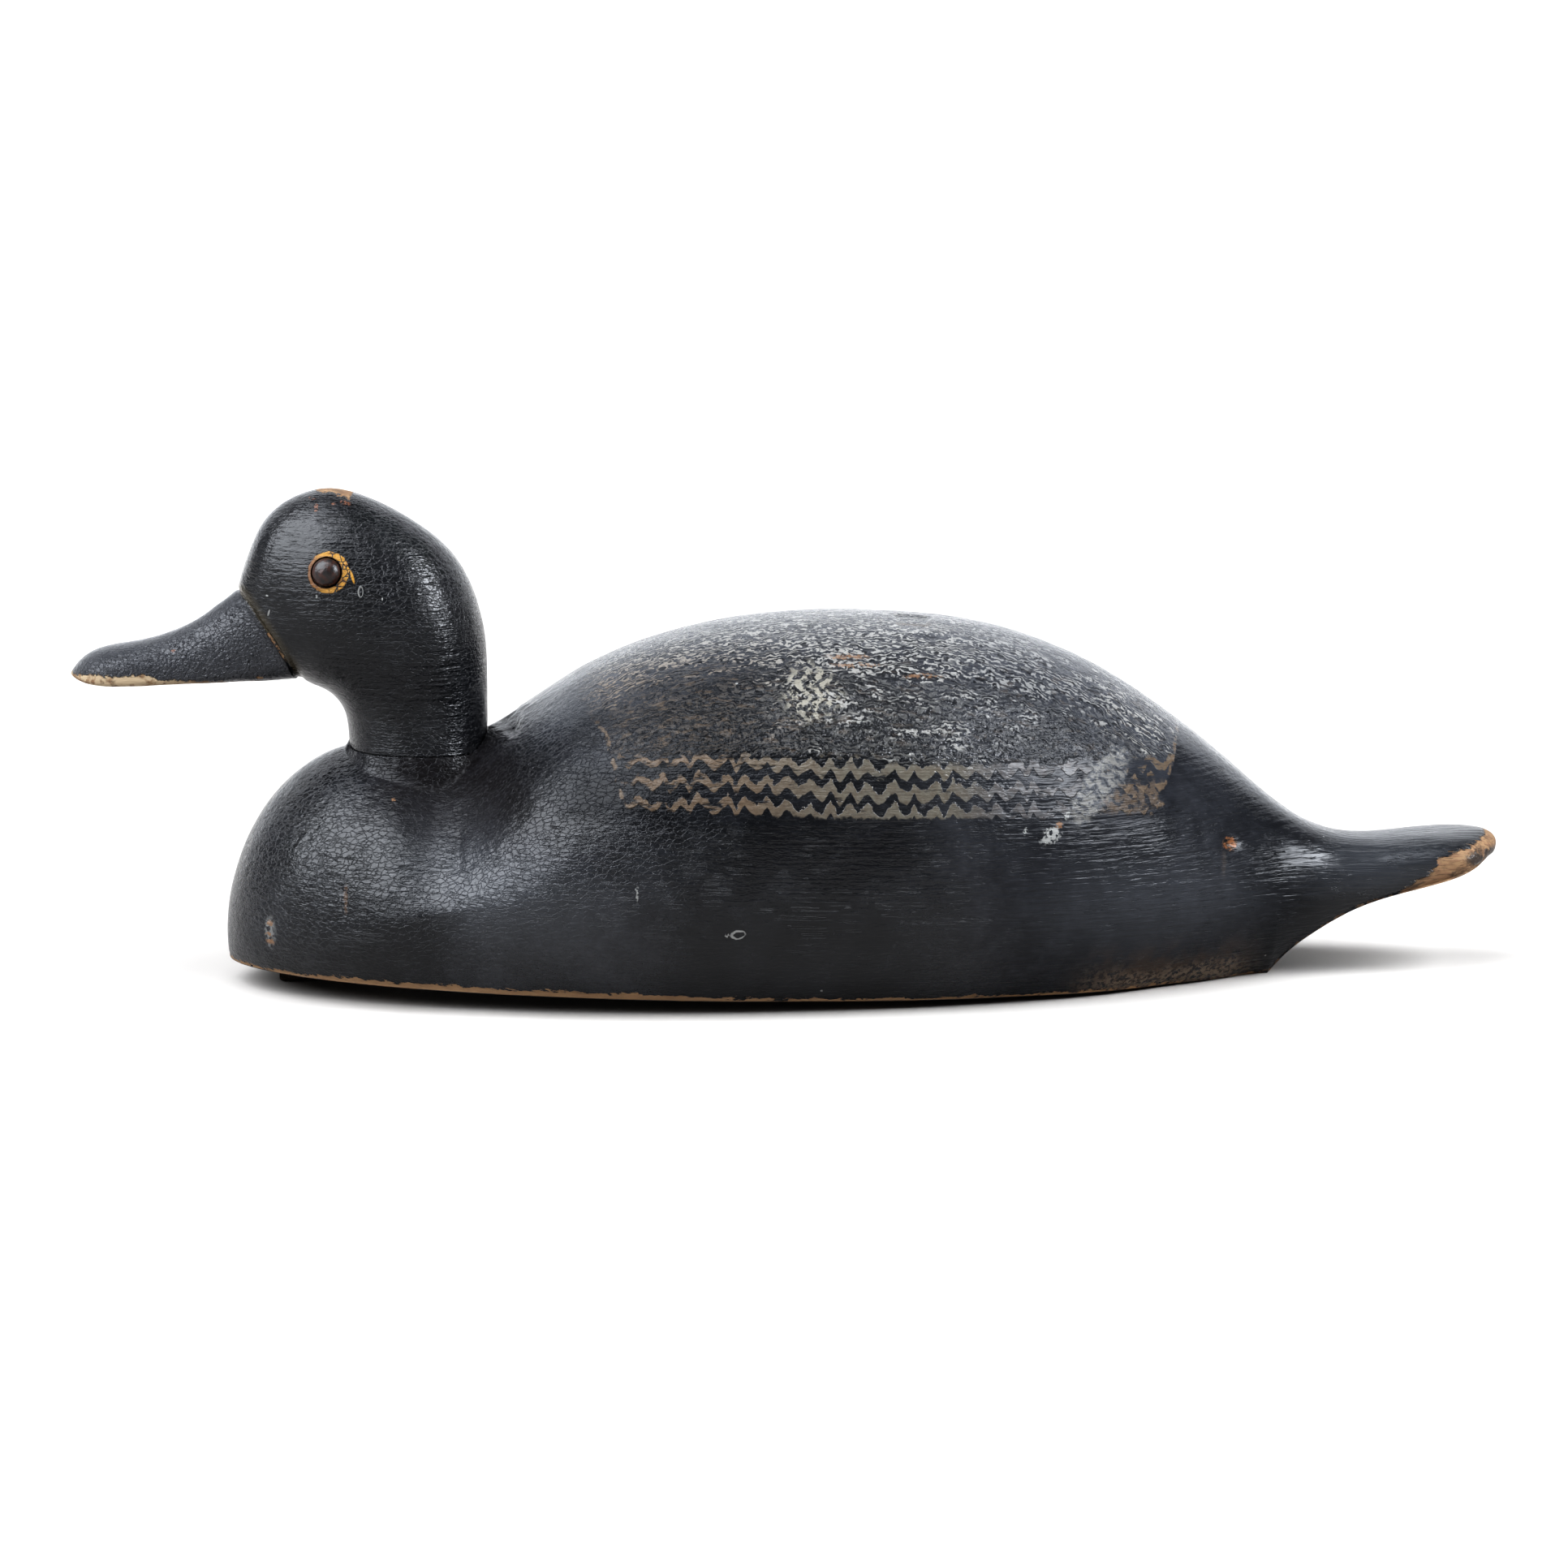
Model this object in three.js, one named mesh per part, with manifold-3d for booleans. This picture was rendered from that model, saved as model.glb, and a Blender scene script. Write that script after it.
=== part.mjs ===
// A carved wooden duck decoy of the diving-duck kind, bill toward -X, in millimetres, +Z up.
// It is modelled level, with the flat of its bottom at z = 0, and is then tipped nose-up onto the
// heel of its bottom and the leather line tie under the breast, the way it stands on a floor.
import * as THREE from 'three';
import { mergeVertices } from 'three/addons/utils/BufferGeometryUtils.js';
import Module from 'manifold-3d';

const wasm = await Module();
wasm.setup();

// Driving dimensions of the body block, before it is tipped.
const BOW_X = -149.4; // foremost point of the breast
const BEAM_X = -16; // where the body is widest
const HEEL_X = 129; // where the flat bottom ends and the tail rises
const TAIL_TURN_X = 176; // where the paddle starts to round off
const TAIL_TIP_X = 191;
const HALF_BEAM = 69;
const HALF_BOTTOM = 57;
const BREAST_LEAN = 0.5; // how far the bottom outline lies inside the breast
const TAIL_CORNER = { under: 3, ridge: 8 }; // underside stops this short of the tip, ridge turns over in this
const TUCK = 1.8; // how late the lower side turns in towards the bottom
const NECK_PINCH = { x: -88, depth: 2.5, spread: 13 };

// The hollow inside the body block.
const WALL = 13; // wood left around it
const HOLLOW = {
  bowExtra: 4,
  topExtra: 2,
  sternX: 100,
  foremostRidge: -112,
  lowest: 12, // its widest line is no lower than this
  below: -2,
  leastCrown: 1.4,
};

// The bottom board, let into a rabbet so that it lies flush with the underside.
const BOARD_THICKNESS = 6.3;
const BOARD_INSET = 7; // rim of the body block left around it
const BOARD_STERN_X = 112;
const LEDGE = 5; // width of the ledge that the board sits against
const GAP = 0.3; // clearance between pieces that touch

// The neck seat: the head stands on a flat cut into the rising front of the back.
const SEAT_Z = 57.6;
const NECK_FRONT_X = -117.1;
const NECK_BACK_X = -80.6;
const NECK_HALF_WIDTH = 21.5;
const NECK_ROUNDNESS = 2.3; // exponent of the neck's plan, 2 for an ellipse
// The pedestal: a lip round the neck, then a flare of the neck's own plan, both in neck radii.
const PEDESTAL = { lip: 1.04, lipRise: 0.6, flare: 0.34, drop: 15, curve: 0.8, reach: 2.2 };

// Eyes, each a dome in a shallow drilled socket.
const EYE = { x: -122.7, z: 106, radius: 3.9, rise: 2.7, depth: 1.6 };
const EYE_SEARCH = { s: [4, 9, 0.02], u: [0.2, 1.4, 0.01] }; // where on the head its place is looked for

// Leather line tie, a folded tab nailed under the breast.
const TIE = { front: -135.5, back: -112.5, halfWidth: 7.5, height: 6, nose: 2, bulge: 1.5 };

const CENTRING = -1.2; // brings the middle of the overall length to x = 0

// Mesh fineness.
const BOW_STEPS = 18;
const SIDE_STEPS = 17;
const TAIL_STEPS = 10;
const TIP_STEPS = 6;
const CROWN_STEPS = 13;
const LOWER_STEPS = 4;
const HEAD_STEPS = 44;
const HEAD_ROUND = 9;
const HOLLOW_STEPS = 12;
const HOLLOW_ROUND = 6;
const BOARD_STEPS = 20;
const NECK_POINTS = 48;
const PEDESTAL_STEPS = 7;
const EYE_STEPS = 6;
const EYE_POINTS = 18;

const QUARTER = Math.PI / 2;

// A natural cubic spline through the stations, so that the carved lines stay fair.
function fairLine(stations) {
  const n = stations.length;
  const x = stations.map((s) => s[0]);
  const y = stations.map((s) => s[1]);
  const second = new Array(n).fill(0);
  const work = new Array(n).fill(0);
  for (let i = 1; i < n - 1; i += 1) {
    const ratio = (x[i] - x[i - 1]) / (x[i + 1] - x[i - 1]);
    const pivot = ratio * second[i - 1] + 2;
    const slopes = (y[i + 1] - y[i]) / (x[i + 1] - x[i]) - (y[i] - y[i - 1]) / (x[i] - x[i - 1]);
    second[i] = (ratio - 1) / pivot;
    work[i] = ((6 * slopes) / (x[i + 1] - x[i - 1]) - ratio * work[i - 1]) / pivot;
  }
  for (let i = n - 2; i >= 0; i -= 1) {
    second[i] = second[i] * second[i + 1] + work[i];
  }
  return (at) => {
    const t = Math.min(Math.max(at, x[0]), x[n - 1]);
    let i = 0;
    while (i < n - 2 && t > x[i + 1]) i += 1;
    const width = x[i + 1] - x[i];
    const a = (x[i + 1] - t) / width;
    const b = 1 - a;
    const bend = (a ** 3 - a) * second[i] + (b ** 3 - b) * second[i + 1];
    return a * y[i] + b * y[i + 1] + (bend * width * width) / 6;
  };
}

const bump = (t) => Math.exp(-t * t);
const lerp = (a, b, t) => a + (b - a) * t;

// The body's lines. Each is [x, size], from the breast to the tip of the tail.
const ridgeLine = fairLine([
  [-117, 57.4], [-98, 59], [-80, 62.8], [-70, 69], [-60, 75.6], [-35, 87], [-8, 93], [17, 94.5],
  [45, 92.8], [70, 86.1], [97, 71.8], [120, 54.3], [137, 41.2], [150, 36.6], [168, 37.3], [191, 38.7],
]);
const halfBeamLine = fairLine([
  [BEAM_X, HALF_BEAM], [10, 68.4], [35, 65.8], [60, 60.2], [85, 50], [105, 38.5], [120, 29],
  [132, 22.6], [145, 19.2], [160, 18.2], [TAIL_TURN_X, 18],
]);
const beamHeightLine = fairLine([
  [BOW_X, 8], [-120, 15], [-80, 24], [-20, 30], [40, 30], [100, 25], [129, 21], [145, 23.5],
  [160, 26.5], [TAIL_TURN_X, 30.5], [TAIL_TIP_X, 34],
]);
const halfBottomLine = fairLine([
  [BEAM_X, HALF_BOTTOM], [9, 55.3], [35, 52.1], [60, 46], [87, 36], [101, 27.3], [115, 18.8],
  [HEEL_X, 10.5], [140, 12.6], [150, 15.2], [163, 17], [TAIL_TURN_X, 17.2],
]);
const undersideLine = fairLine([
  [HEEL_X, 0], [135, 6.6], [142, 12.5], [150, 17.8], [160, 22.1], [170, 25.0], [180, 28.2], [190.6, 32.6],
]);
const crownLine = fairLine([
  [BOW_X, 1.93], [-125, 1.86], [-107, 1.66], [-90, 1.32], [-76, 1.6], [-58, 2], [-30, 2.15], [60, 2.1],
  [120, 2], [145, 2.3], [165, 2.8], [TAIL_TIP_X, 2.8],
]);

const undersideAt = (x) => (x < HEEL_X ? 0 : undersideLine(x));

// The ridge keeps pace with the beam, but bunches up under the neck as the sections fan round the bow.
const FAN_START_X = -90;
const FAN_REACH = 22;
const ridgeX = (x) => {
  if (x >= FAN_START_X) return x;
  return FAN_START_X - FAN_REACH * (1 - Math.exp((x - FAN_START_X) / FAN_REACH));
};

// One cross-section of the body: its ridge, its widest point and its bottom corner.
function section(ridge, beamX, halfBeam, bottomX, halfBottom) {
  const pinch = NECK_PINCH.depth * bump((beamX - NECK_PINCH.x) / NECK_PINCH.spread);
  return {
    crown: crownLine(beamX),
    ridge: [ridge, 0, ridgeLine(ridge)],
    beam: [beamX, Math.max(halfBeam - pinch, 0), beamHeightLine(beamX)],
    bottom: [bottomX, halfBottom, undersideAt(bottomX)],
  };
}

// Sections from the bow, round its half-ellipse, along the sides and round the end of the tail.
function bodySections() {
  const sections = [];
  for (let i = 0; i < BOW_STEPS; i += 1) {
    const turn = QUARTER * (i / BOW_STEPS);
    const beamX = BEAM_X - (BEAM_X - BOW_X) * Math.cos(turn);
    const bottomX = BEAM_X - (BEAM_X - BOW_X - BREAST_LEAN) * Math.cos(turn);
    const across = Math.sin(turn);
    sections.push(section(ridgeX(beamX), beamX, HALF_BEAM * across, bottomX, HALF_BOTTOM * across));
  }
  const along = [];
  for (let i = 0; i < SIDE_STEPS; i += 1) along.push(lerp(BEAM_X, HEEL_X, i / SIDE_STEPS));
  for (let i = 0; i < TAIL_STEPS; i += 1) along.push(lerp(HEEL_X, TAIL_TURN_X, i / TAIL_STEPS));
  for (const x of along) sections.push(section(x, x, halfBeamLine(x), x, halfBottomLine(x)));
  for (let i = 0; i <= TIP_STEPS; i += 1) {
    const turn = QUARTER * (i / TIP_STEPS);
    const beamX = TAIL_TURN_X + (TAIL_TIP_X - TAIL_TURN_X) * Math.sin(turn);
    const bottomX = TAIL_TURN_X + (TAIL_TIP_X - TAIL_CORNER.under - TAIL_TURN_X) * Math.sin(turn);
    const ridge = TAIL_TURN_X + TAIL_CORNER.ridge * Math.sin(turn);
    const across = i === TIP_STEPS ? 0 : Math.cos(turn);
    const halfBeam = halfBeamLine(TAIL_TURN_X) * across;
    sections.push(section(ridge, beamX, halfBeam, bottomX, halfBottomLine(TAIL_TURN_X) * across));
  }
  return sections;
}

// A closed mesh from one half: rows of points whose outer rows and row ends all lie on y = 0.
function mirroredSolid(rows) {
  const positions = [];
  const index = [];
  const across = rows[0].length;
  for (const side of [1, -1]) {
    const base = positions.length / 3;
    for (const row of rows) {
      for (const [x, y, z] of row) positions.push(x, y * side, z);
    }
    for (let i = 0; i < rows.length - 1; i += 1) {
      for (let j = 0; j < across - 1; j += 1) {
        const a = base + i * across + j;
        const b = a + across;
        const corners = [[a, a + 1, b + 1], [a, b + 1, b]];
        for (const [p, q, r] of corners) index.push(p, ...(side > 0 ? [r, q] : [q, r]));
      }
    }
  }
  const geometry = new THREE.BufferGeometry();
  geometry.setAttribute('position', new THREE.Float32BufferAttribute(positions, 3));
  geometry.setIndex(index);
  return tidied(geometry);
}

// Merges shared corners and drops triangles that have closed up to a line.
function tidied(geometry) {
  geometry.deleteAttribute('normal');
  geometry.deleteAttribute('uv');
  const merged = mergeVertices(geometry, 1e-3);
  const from = merged.index.array;
  const kept = [];
  for (let i = 0; i < from.length; i += 3) {
    const [a, b, c] = [from[i], from[i + 1], from[i + 2]];
    if (a !== b && b !== c && c !== a) kept.push(a, b, c);
  }
  merged.setIndex(kept);
  return merged;
}

// A point on a section: u runs 0..1 over the crown from ridge to beam, then 1..2 down to the bottom.
function sectionPoint(cut, u) {
  if (u <= 1) {
    const power = 2 / cut.crown;
    const out = Math.sin(QUARTER * u) ** power;
    const up = u === 1 ? 0 : Math.cos(QUARTER * u) ** power;
    return [
      lerp(cut.ridge[0], cut.beam[0], out),
      cut.beam[1] * out,
      lerp(cut.beam[2], cut.ridge[2], up),
    ];
  }
  const down = u - 1;
  const tuck = down ** TUCK;
  return [
    lerp(cut.beam[0], cut.bottom[0], tuck),
    lerp(cut.beam[1], cut.bottom[1], tuck),
    lerp(cut.beam[2], cut.bottom[2], down),
  ];
}

function bodyRows() {
  return bodySections().map((cut) => {
    const row = [];
    for (let j = 0; j <= CROWN_STEPS; j += 1) row.push(sectionPoint(cut, j / CROWN_STEPS));
    for (let j = 1; j <= LOWER_STEPS; j += 1) row.push(sectionPoint(cut, 1 + j / LOWER_STEPS));
    row.push([cut.bottom[0], 0, cut.bottom[2]]);
    return row;
  });
}

// The decoy's plan outline at the bottom, drawn in by a margin, as a shape for extruding.
function bottomOutline(margin, sternX, steps) {
  const near = [];
  const length = BEAM_X - BOW_X - BREAST_LEAN - margin;
  for (let i = 0; i <= steps; i += 1) {
    const turn = QUARTER * (i / steps);
    near.push([BEAM_X - length * Math.cos(turn), (HALF_BOTTOM - margin) * Math.sin(turn)]);
  }
  for (let i = 1; i <= steps; i += 1) {
    const x = lerp(BEAM_X, sternX, i / steps);
    near.push([x, halfBottomLine(x) - margin]);
  }
  const far = near.slice(1).reverse().map(([x, y]) => [x, -y]);
  return new THREE.Shape([...near, ...far].map(([x, y]) => new THREE.Vector2(x, y)));
}

function slab(shape, bottom, top) {
  const geometry = new THREE.ExtrudeGeometry(shape, { depth: top - bottom, bevelEnabled: false });
  geometry.translate(0, 0, bottom);
  return geometry;
}

// The hollow: the body's own form, drawn in by the wall and open below.
function hollowCut(x, across) {
  const ridge = Math.max(x, HOLLOW.foremostRidge);
  const forward = x < BEAM_X;
  const rim = BOARD_INSET + LEDGE;
  const half = forward ? across * (HALF_BEAM - WALL) : halfBeamLine(x) - WALL;
  const low = forward ? across * (HALF_BOTTOM - rim) : halfBottomLine(x) - rim;
  return {
    crown: Math.max(crownLine(x), HOLLOW.leastCrown),
    ridge: [ridge, 0, ridgeLine(ridge) - WALL - HOLLOW.topExtra],
    beam: [x, half, Math.max(beamHeightLine(x), HOLLOW.lowest)],
    bottom: [x, low, HOLLOW.below],
  };
}

function hollowRows() {
  const length = BEAM_X - BOW_X - WALL - HOLLOW.bowExtra;
  const cuts = [];
  for (let i = 0; i < HOLLOW_STEPS; i += 1) {
    const turn = QUARTER * (i / HOLLOW_STEPS);
    cuts.push(hollowCut(BEAM_X - length * Math.cos(turn), Math.sin(turn)));
  }
  for (let i = 0; i <= HOLLOW_STEPS; i += 1) {
    cuts.push(hollowCut(lerp(BEAM_X, HOLLOW.sternX, i / HOLLOW_STEPS), 1));
  }
  const last = cuts[cuts.length - 1];
  cuts.push({ ...last, beam: [last.beam[0], 0, last.beam[2]], bottom: [last.bottom[0], 0, last.bottom[2]] });
  return cuts.map((cut) => {
    const row = [];
    for (let j = 0; j <= HOLLOW_ROUND; j += 1) row.push(sectionPoint(cut, j / HOLLOW_ROUND));
    for (let j = 1; j <= 2; j += 1) row.push(sectionPoint(cut, 1 + j / 2));
    row.push([cut.bottom[0], 0, cut.bottom[2]]);
    return row;
  });
}

// The head and neck as one carved piece: stations from the seat, round the crown and out along
// the bill. Each gives its back edge, its throat edge, its half-width, where along it the widest
// point lies, and how full it is above and below that point.
const HEAD_STATIONS = [
  { back: [-80.6, 57.6], throat: [-117.1, 57.6], half: 21.5, wide: 0.5, full: [2.3, 2.3] },
  { back: [-80.6, 66], throat: [-118.0, 65.0], half: 20.8, wide: 0.5, full: [2.2, 2.2] },
  { back: [-80.8, 77], throat: [-120.0, 69.2], half: 21.6, wide: 0.51, full: [2.1, 2.1] },
  { back: [-82.2, 91], throat: [-122.2, 71.4], half: 23.4, wide: 0.5, full: [2.1, 2] },
  { back: [-88.9, 107], throat: [-124.0, 72.5], half: 24.5, wide: 0.48, full: [2.1, 2] },
  { back: [-101.5, 117.9], throat: [-125.4, 73.1], half: 24.2, wide: 0.45, full: [2.1, 2] },
  { back: [-118, 125.0], throat: [-126.6, 73.5], half: 22.7, wide: 0.42, full: [2.1, 2] },
  { back: [-130.5, 124.2], throat: [-127.7, 74.0], half: 20.5, wide: 0.41, full: [2.1, 2] },
  { back: [-139.7, 117.5], throat: [-128.7, 74.6], half: 18, wide: 0.41, full: [2.1, 2] },
  { back: [-144.6, 107], throat: [-129.6, 75.4], half: 15.6, wide: 0.42, full: [2.2, 2.2] },
  { back: [-146.9, 99.6], throat: [-130.6, 75.2], half: 13.6, wide: 0.38, full: [2.4, 3] },
  { back: [-148.2, 98.0], throat: [-133.2, 75.0], half: 12.4, wide: 0.34, full: [2.4, 3.4] },
  { back: [-155.2, 92.2], throat: [-145, 74.5], half: 11.4, wide: 0.28, full: [2.2, 3.8] },
  { back: [-163.5, 87.5], throat: [-157, 73.9], half: 11.2, wide: 0.25, full: [2.2, 4] },
  { back: [-172.5, 84.6], throat: [-169.5, 73.3], half: 11.9, wide: 0.25, full: [2.2, 4] },
  { back: [-180.5, 83.1], throat: [-179, 72.9], half: 12.2, wide: 0.25, full: [2.2, 4] },
  { back: [-186.7, 80.7], throat: [-186.2, 73.2], half: 9.4, wide: 0.28, full: [2.1, 3] },
  { back: [-190.2, 77.3], throat: [-190.0, 74.3], half: 4.2, wide: 0.35, full: [2, 2] },
  { back: [-191.2, 75.4], throat: [-191.2, 75.4], half: 0, wide: 0.4, full: [2, 2] },
];

function headLine(read) {
  return fairLine(HEAD_STATIONS.map((station, i) => [i, read(station)]));
}
const headLines = {
  backX: headLine((s) => s.back[0]),
  backZ: headLine((s) => s.back[1]),
  throatX: headLine((s) => s.throat[0]),
  throatZ: headLine((s) => s.throat[1]),
  half: headLine((s) => s.half),
  wide: headLine((s) => s.wide),
  fullBack: headLine((s) => s.full[0]),
  fullThroat: headLine((s) => s.full[1]),
};

// A point on the head: s counts stations, u runs 0..2 from the back edge round to the throat edge.
function headPoint(s, u) {
  const wide = headLines.wide(s);
  const upper = u <= 1;
  const power = 2 / (upper ? headLines.fullBack(s) : headLines.fullThroat(s));
  const turn = QUARTER * (upper ? u : 2 - u);
  const out = Math.sin(turn) ** power;
  const along = u === 1 ? 0 : Math.cos(turn) ** power;
  const t = upper ? lerp(wide, 1, along) : lerp(wide, 0, along);
  return [
    lerp(headLines.throatX(s), headLines.backX(s), t),
    Math.max(headLines.half(s), 0) * (u === 0 || u === 2 ? 0 : out),
    lerp(headLines.throatZ(s), headLines.backZ(s), t),
  ];
}

function headSolid() {
  const last = HEAD_STATIONS.length - 1;
  const rows = [];
  const around = 2 * HEAD_ROUND;
  const ring = (s) => Array.from({ length: around + 1 }, (_, j) => headPoint(s, (around - j) / HEAD_ROUND));
  rows.push(ring(0).map(([x, , z]) => [x, 0, z]));
  for (let i = 0; i <= HEAD_STEPS; i += 1) rows.push(ring((last * i) / HEAD_STEPS));
  return mirroredSolid(rows);
}

// Finds where the head's surface stands at a given place in side view, and which way it faces.
function headSurfaceAt(x, z) {
  const [sFirst, sLast, sStep] = EYE_SEARCH.s;
  const [uFirst, uLast, uStep] = EYE_SEARCH.u;
  let best = { miss: Infinity };
  for (let s = sFirst; s <= sLast; s += sStep) {
    for (let u = uFirst; u <= uLast; u += uStep) {
      const p = headPoint(s, u);
      const miss = Math.hypot(p[0] - x, p[2] - z);
      if (miss < best.miss) best = { miss, s, u };
    }
  }
  const at = new THREE.Vector3(...headPoint(best.s, best.u));
  const alongS = new THREE.Vector3(...headPoint(best.s + sStep, best.u)).sub(at);
  const alongU = new THREE.Vector3(...headPoint(best.s, best.u + uStep)).sub(at);
  const normal = alongS.cross(alongU).normalize();
  if (normal.y < 0) normal.negate();
  return { at, normal };
}

// Solids for cutting and joining.
function solid(geometry) {
  const merged = tidied(geometry.clone());
  return new wasm.Manifold(
    new wasm.Mesh({
      numProp: 3,
      vertProperties: Float32Array.from(merged.attributes.position.array),
      triVerts: Uint32Array.from(merged.index.array),
    }),
  );
}

function geometryOf(manifold) {
  const { vertProperties, triVerts } = manifold.getMesh();
  const geometry = new THREE.BufferGeometry();
  geometry.setAttribute('position', new THREE.BufferAttribute(Float32Array.from(vertProperties), 3));
  geometry.setIndex(Array.from(triVerts));
  return geometry;
}

// The neck's plan, made larger by a factor and a clearance, as a ring of [x, y].
const NECK_X = (NECK_FRONT_X + NECK_BACK_X) / 2;
const NECK_HALF_LENGTH = (NECK_BACK_X - NECK_FRONT_X) / 2;
function neckPlan(factor, clearance) {
  const power = 2 / NECK_ROUNDNESS;
  const swell = (value) => Math.sign(value) * Math.abs(value) ** power;
  return Array.from({ length: NECK_POINTS }, (_, i) => {
    const turn = (2 * Math.PI * i) / NECK_POINTS;
    return [
      NECK_X + (NECK_HALF_LENGTH * factor + clearance) * swell(Math.cos(turn)),
      (NECK_HALF_WIDTH * factor + clearance) * swell(Math.sin(turn)),
    ];
  });
}

// The flared pedestal below the neck: rings of the neck's plan, from the lip down into the body.
function pedestalGeometry() {
  const positions = [];
  const index = [];
  for (let i = 0; i <= PEDESTAL_STEPS; i += 1) {
    const outward = (PEDESTAL.reach * i) / PEDESTAL_STEPS;
    const height = SEAT_Z + PEDESTAL.lipRise - PEDESTAL.drop * outward ** PEDESTAL.curve;
    for (const [x, y] of neckPlan(PEDESTAL.lip + PEDESTAL.flare * outward, 0)) positions.push(x, y, height);
  }
  const top = positions.length / 3;
  positions.push(NECK_X, 0, positions[2]);
  positions.push(NECK_X, 0, positions[3 * top - 1]);
  const lastRing = PEDESTAL_STEPS * NECK_POINTS;
  for (let j = 0; j < NECK_POINTS; j += 1) {
    const next = (j + 1) % NECK_POINTS;
    index.push(top, j, next, top + 1, lastRing + next, lastRing + j);
    for (let ring = 0; ring < lastRing; ring += NECK_POINTS) {
      const [a, b] = [ring + j, ring + next];
      index.push(a, a + NECK_POINTS, b + NECK_POINTS, a, b + NECK_POINTS, b);
    }
  }
  const geometry = new THREE.BufferGeometry();
  geometry.setAttribute('position', new THREE.Float32BufferAttribute(positions, 3));
  geometry.setIndex(index);
  return geometry;
}

function bodyGeometry() {
  const seatPlan = new THREE.Shape(neckPlan(1, GAP).map(([x, y]) => new THREE.Vector2(x, y)));
  const seat = slab(seatPlan, SEAT_Z - GAP, SEAT_Z + HALF_BEAM);
  const rabbet = slab(bottomOutline(BOARD_INSET, BOARD_STERN_X, BOARD_STEPS), -1, BOARD_THICKNESS + GAP);
  return geometryOf(
    solid(mirroredSolid(bodyRows()))
      .add(solid(pedestalGeometry()))
      .subtract(solid(seat))
      .subtract(solid(mirroredSolid(hollowRows())))
      .subtract(solid(rabbet)),
  );
}

function boardGeometry() {
  return slab(bottomOutline(BOARD_INSET + GAP, BOARD_STERN_X - GAP, BOARD_STEPS), 0, BOARD_THICKNESS);
}

// A dome with a short flat-backed body, its axis along +Z and its seat at z = 0.
function eyeGeometry() {
  const profile = [new THREE.Vector2(0, -EYE.depth), new THREE.Vector2(EYE.radius, -EYE.depth)];
  for (let i = 0; i <= EYE_STEPS; i += 1) {
    const turn = QUARTER * (i / EYE_STEPS);
    const radius = i === EYE_STEPS ? 0 : EYE.radius * Math.cos(turn);
    profile.push(new THREE.Vector2(radius, EYE.rise * Math.sin(turn)));
  }
  const dome = new THREE.LatheGeometry(profile, EYE_POINTS);
  dome.rotateX(QUARTER);
  return dome;
}

function socketGeometry() {
  const length = 2 * EYE.radius;
  const socket = new THREE.CylinderGeometry(EYE.radius + GAP, EYE.radius + GAP, length, EYE_POINTS);
  socket.rotateX(QUARTER);
  socket.translate(0, 0, length / 2 - EYE.depth - GAP);
  return socket;
}

const eyeSeat = headSurfaceAt(EYE.x, EYE.z);
function placedAtEye(geometry, side) {
  const normal = eyeSeat.normal.clone();
  normal.y *= side;
  geometry.applyQuaternion(new THREE.Quaternion().setFromUnitVectors(new THREE.Vector3(0, 0, 1), normal));
  geometry.translate(eyeSeat.at.x, eyeSeat.at.y * side, eyeSeat.at.z);
  return geometry;
}

function headGeometry() {
  return geometryOf(
    solid(headSolid())
      .subtract(solid(placedAtEye(socketGeometry(), 1)))
      .subtract(solid(placedAtEye(socketGeometry(), -1))),
  );
}

// How far the decoy is tipped: the tie lifts the breast and the heel stays down.
const TIE_X = (TIE.front + TIE.back) / 2;
const NOSE_UP = Math.atan(TIE.height / (HEEL_X - TIE_X));

// The tie in side view, flat on the floor and cut on top to the slope of the bottom.
function tieGeometry() {
  const topAt = (x) => (HEEL_X - x) * Math.tan(NOSE_UP) - GAP;
  const outline = new THREE.Shape();
  const nose = TIE.front + TIE.nose;
  outline.moveTo(nose, 0);
  outline.lineTo(TIE.back, 0);
  outline.lineTo(TIE.back, topAt(TIE.back));
  outline.lineTo(nose, topAt(nose));
  outline.quadraticCurveTo(TIE.front - TIE.bulge, topAt(TIE.front) / 2, nose, 0);
  const geometry = new THREE.ExtrudeGeometry(outline, {
    depth: 2 * TIE.halfWidth,
    bevelEnabled: false,
    curveSegments: 6,
  });
  geometry.rotateX(QUARTER);
  geometry.translate(0, TIE.halfWidth, 0);
  return tidied(geometry);
}

function piece(name, geometry, color, roughness, metalness = 0) {
  const mesh = new THREE.Mesh(geometry, new THREE.MeshStandardMaterial({ color, roughness, metalness }));
  mesh.name = name;
  return mesh;
}

const BLACK_PAINT = 0x26272b;
const tipped = new THREE.Group();
tipped.add(piece('body', bodyGeometry(), BLACK_PAINT, 0.5));
tipped.add(piece('bottom_board', boardGeometry(), 0x6d5238, 0.8));
tipped.add(piece('head', headGeometry(), BLACK_PAINT, 0.45));
tipped.add(piece('eye_left', placedAtEye(eyeGeometry(), -1), 0x2a1a12, 0.15));
tipped.add(piece('eye_right', placedAtEye(eyeGeometry(), 1), 0x2a1a12, 0.15));

// Tip about the heel: the pivot group stands at the heel, and the pieces hang from it.
const pivot = new THREE.Group();
pivot.position.set(HEEL_X, 0, 0);
pivot.rotation.y = NOSE_UP;
tipped.position.x = -HEEL_X;
pivot.add(tipped);

const decoy = new THREE.Group();
decoy.add(pivot);
decoy.add(piece('line_tie', tieGeometry(), 0x2b211a, 0.85));
decoy.position.x = CENTRING;

export default decoy;
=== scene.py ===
"""Looks of a carved and painted hollow duck decoy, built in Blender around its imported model.

The decoy's lines are laid down in its own level frame in millimetres, bill toward -X and the flat
of the bottom at z = 0. It is then tipped nose-up onto the heel of its bottom and its line tie, as
it stands on a floor, and given in metres.
"""

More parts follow.
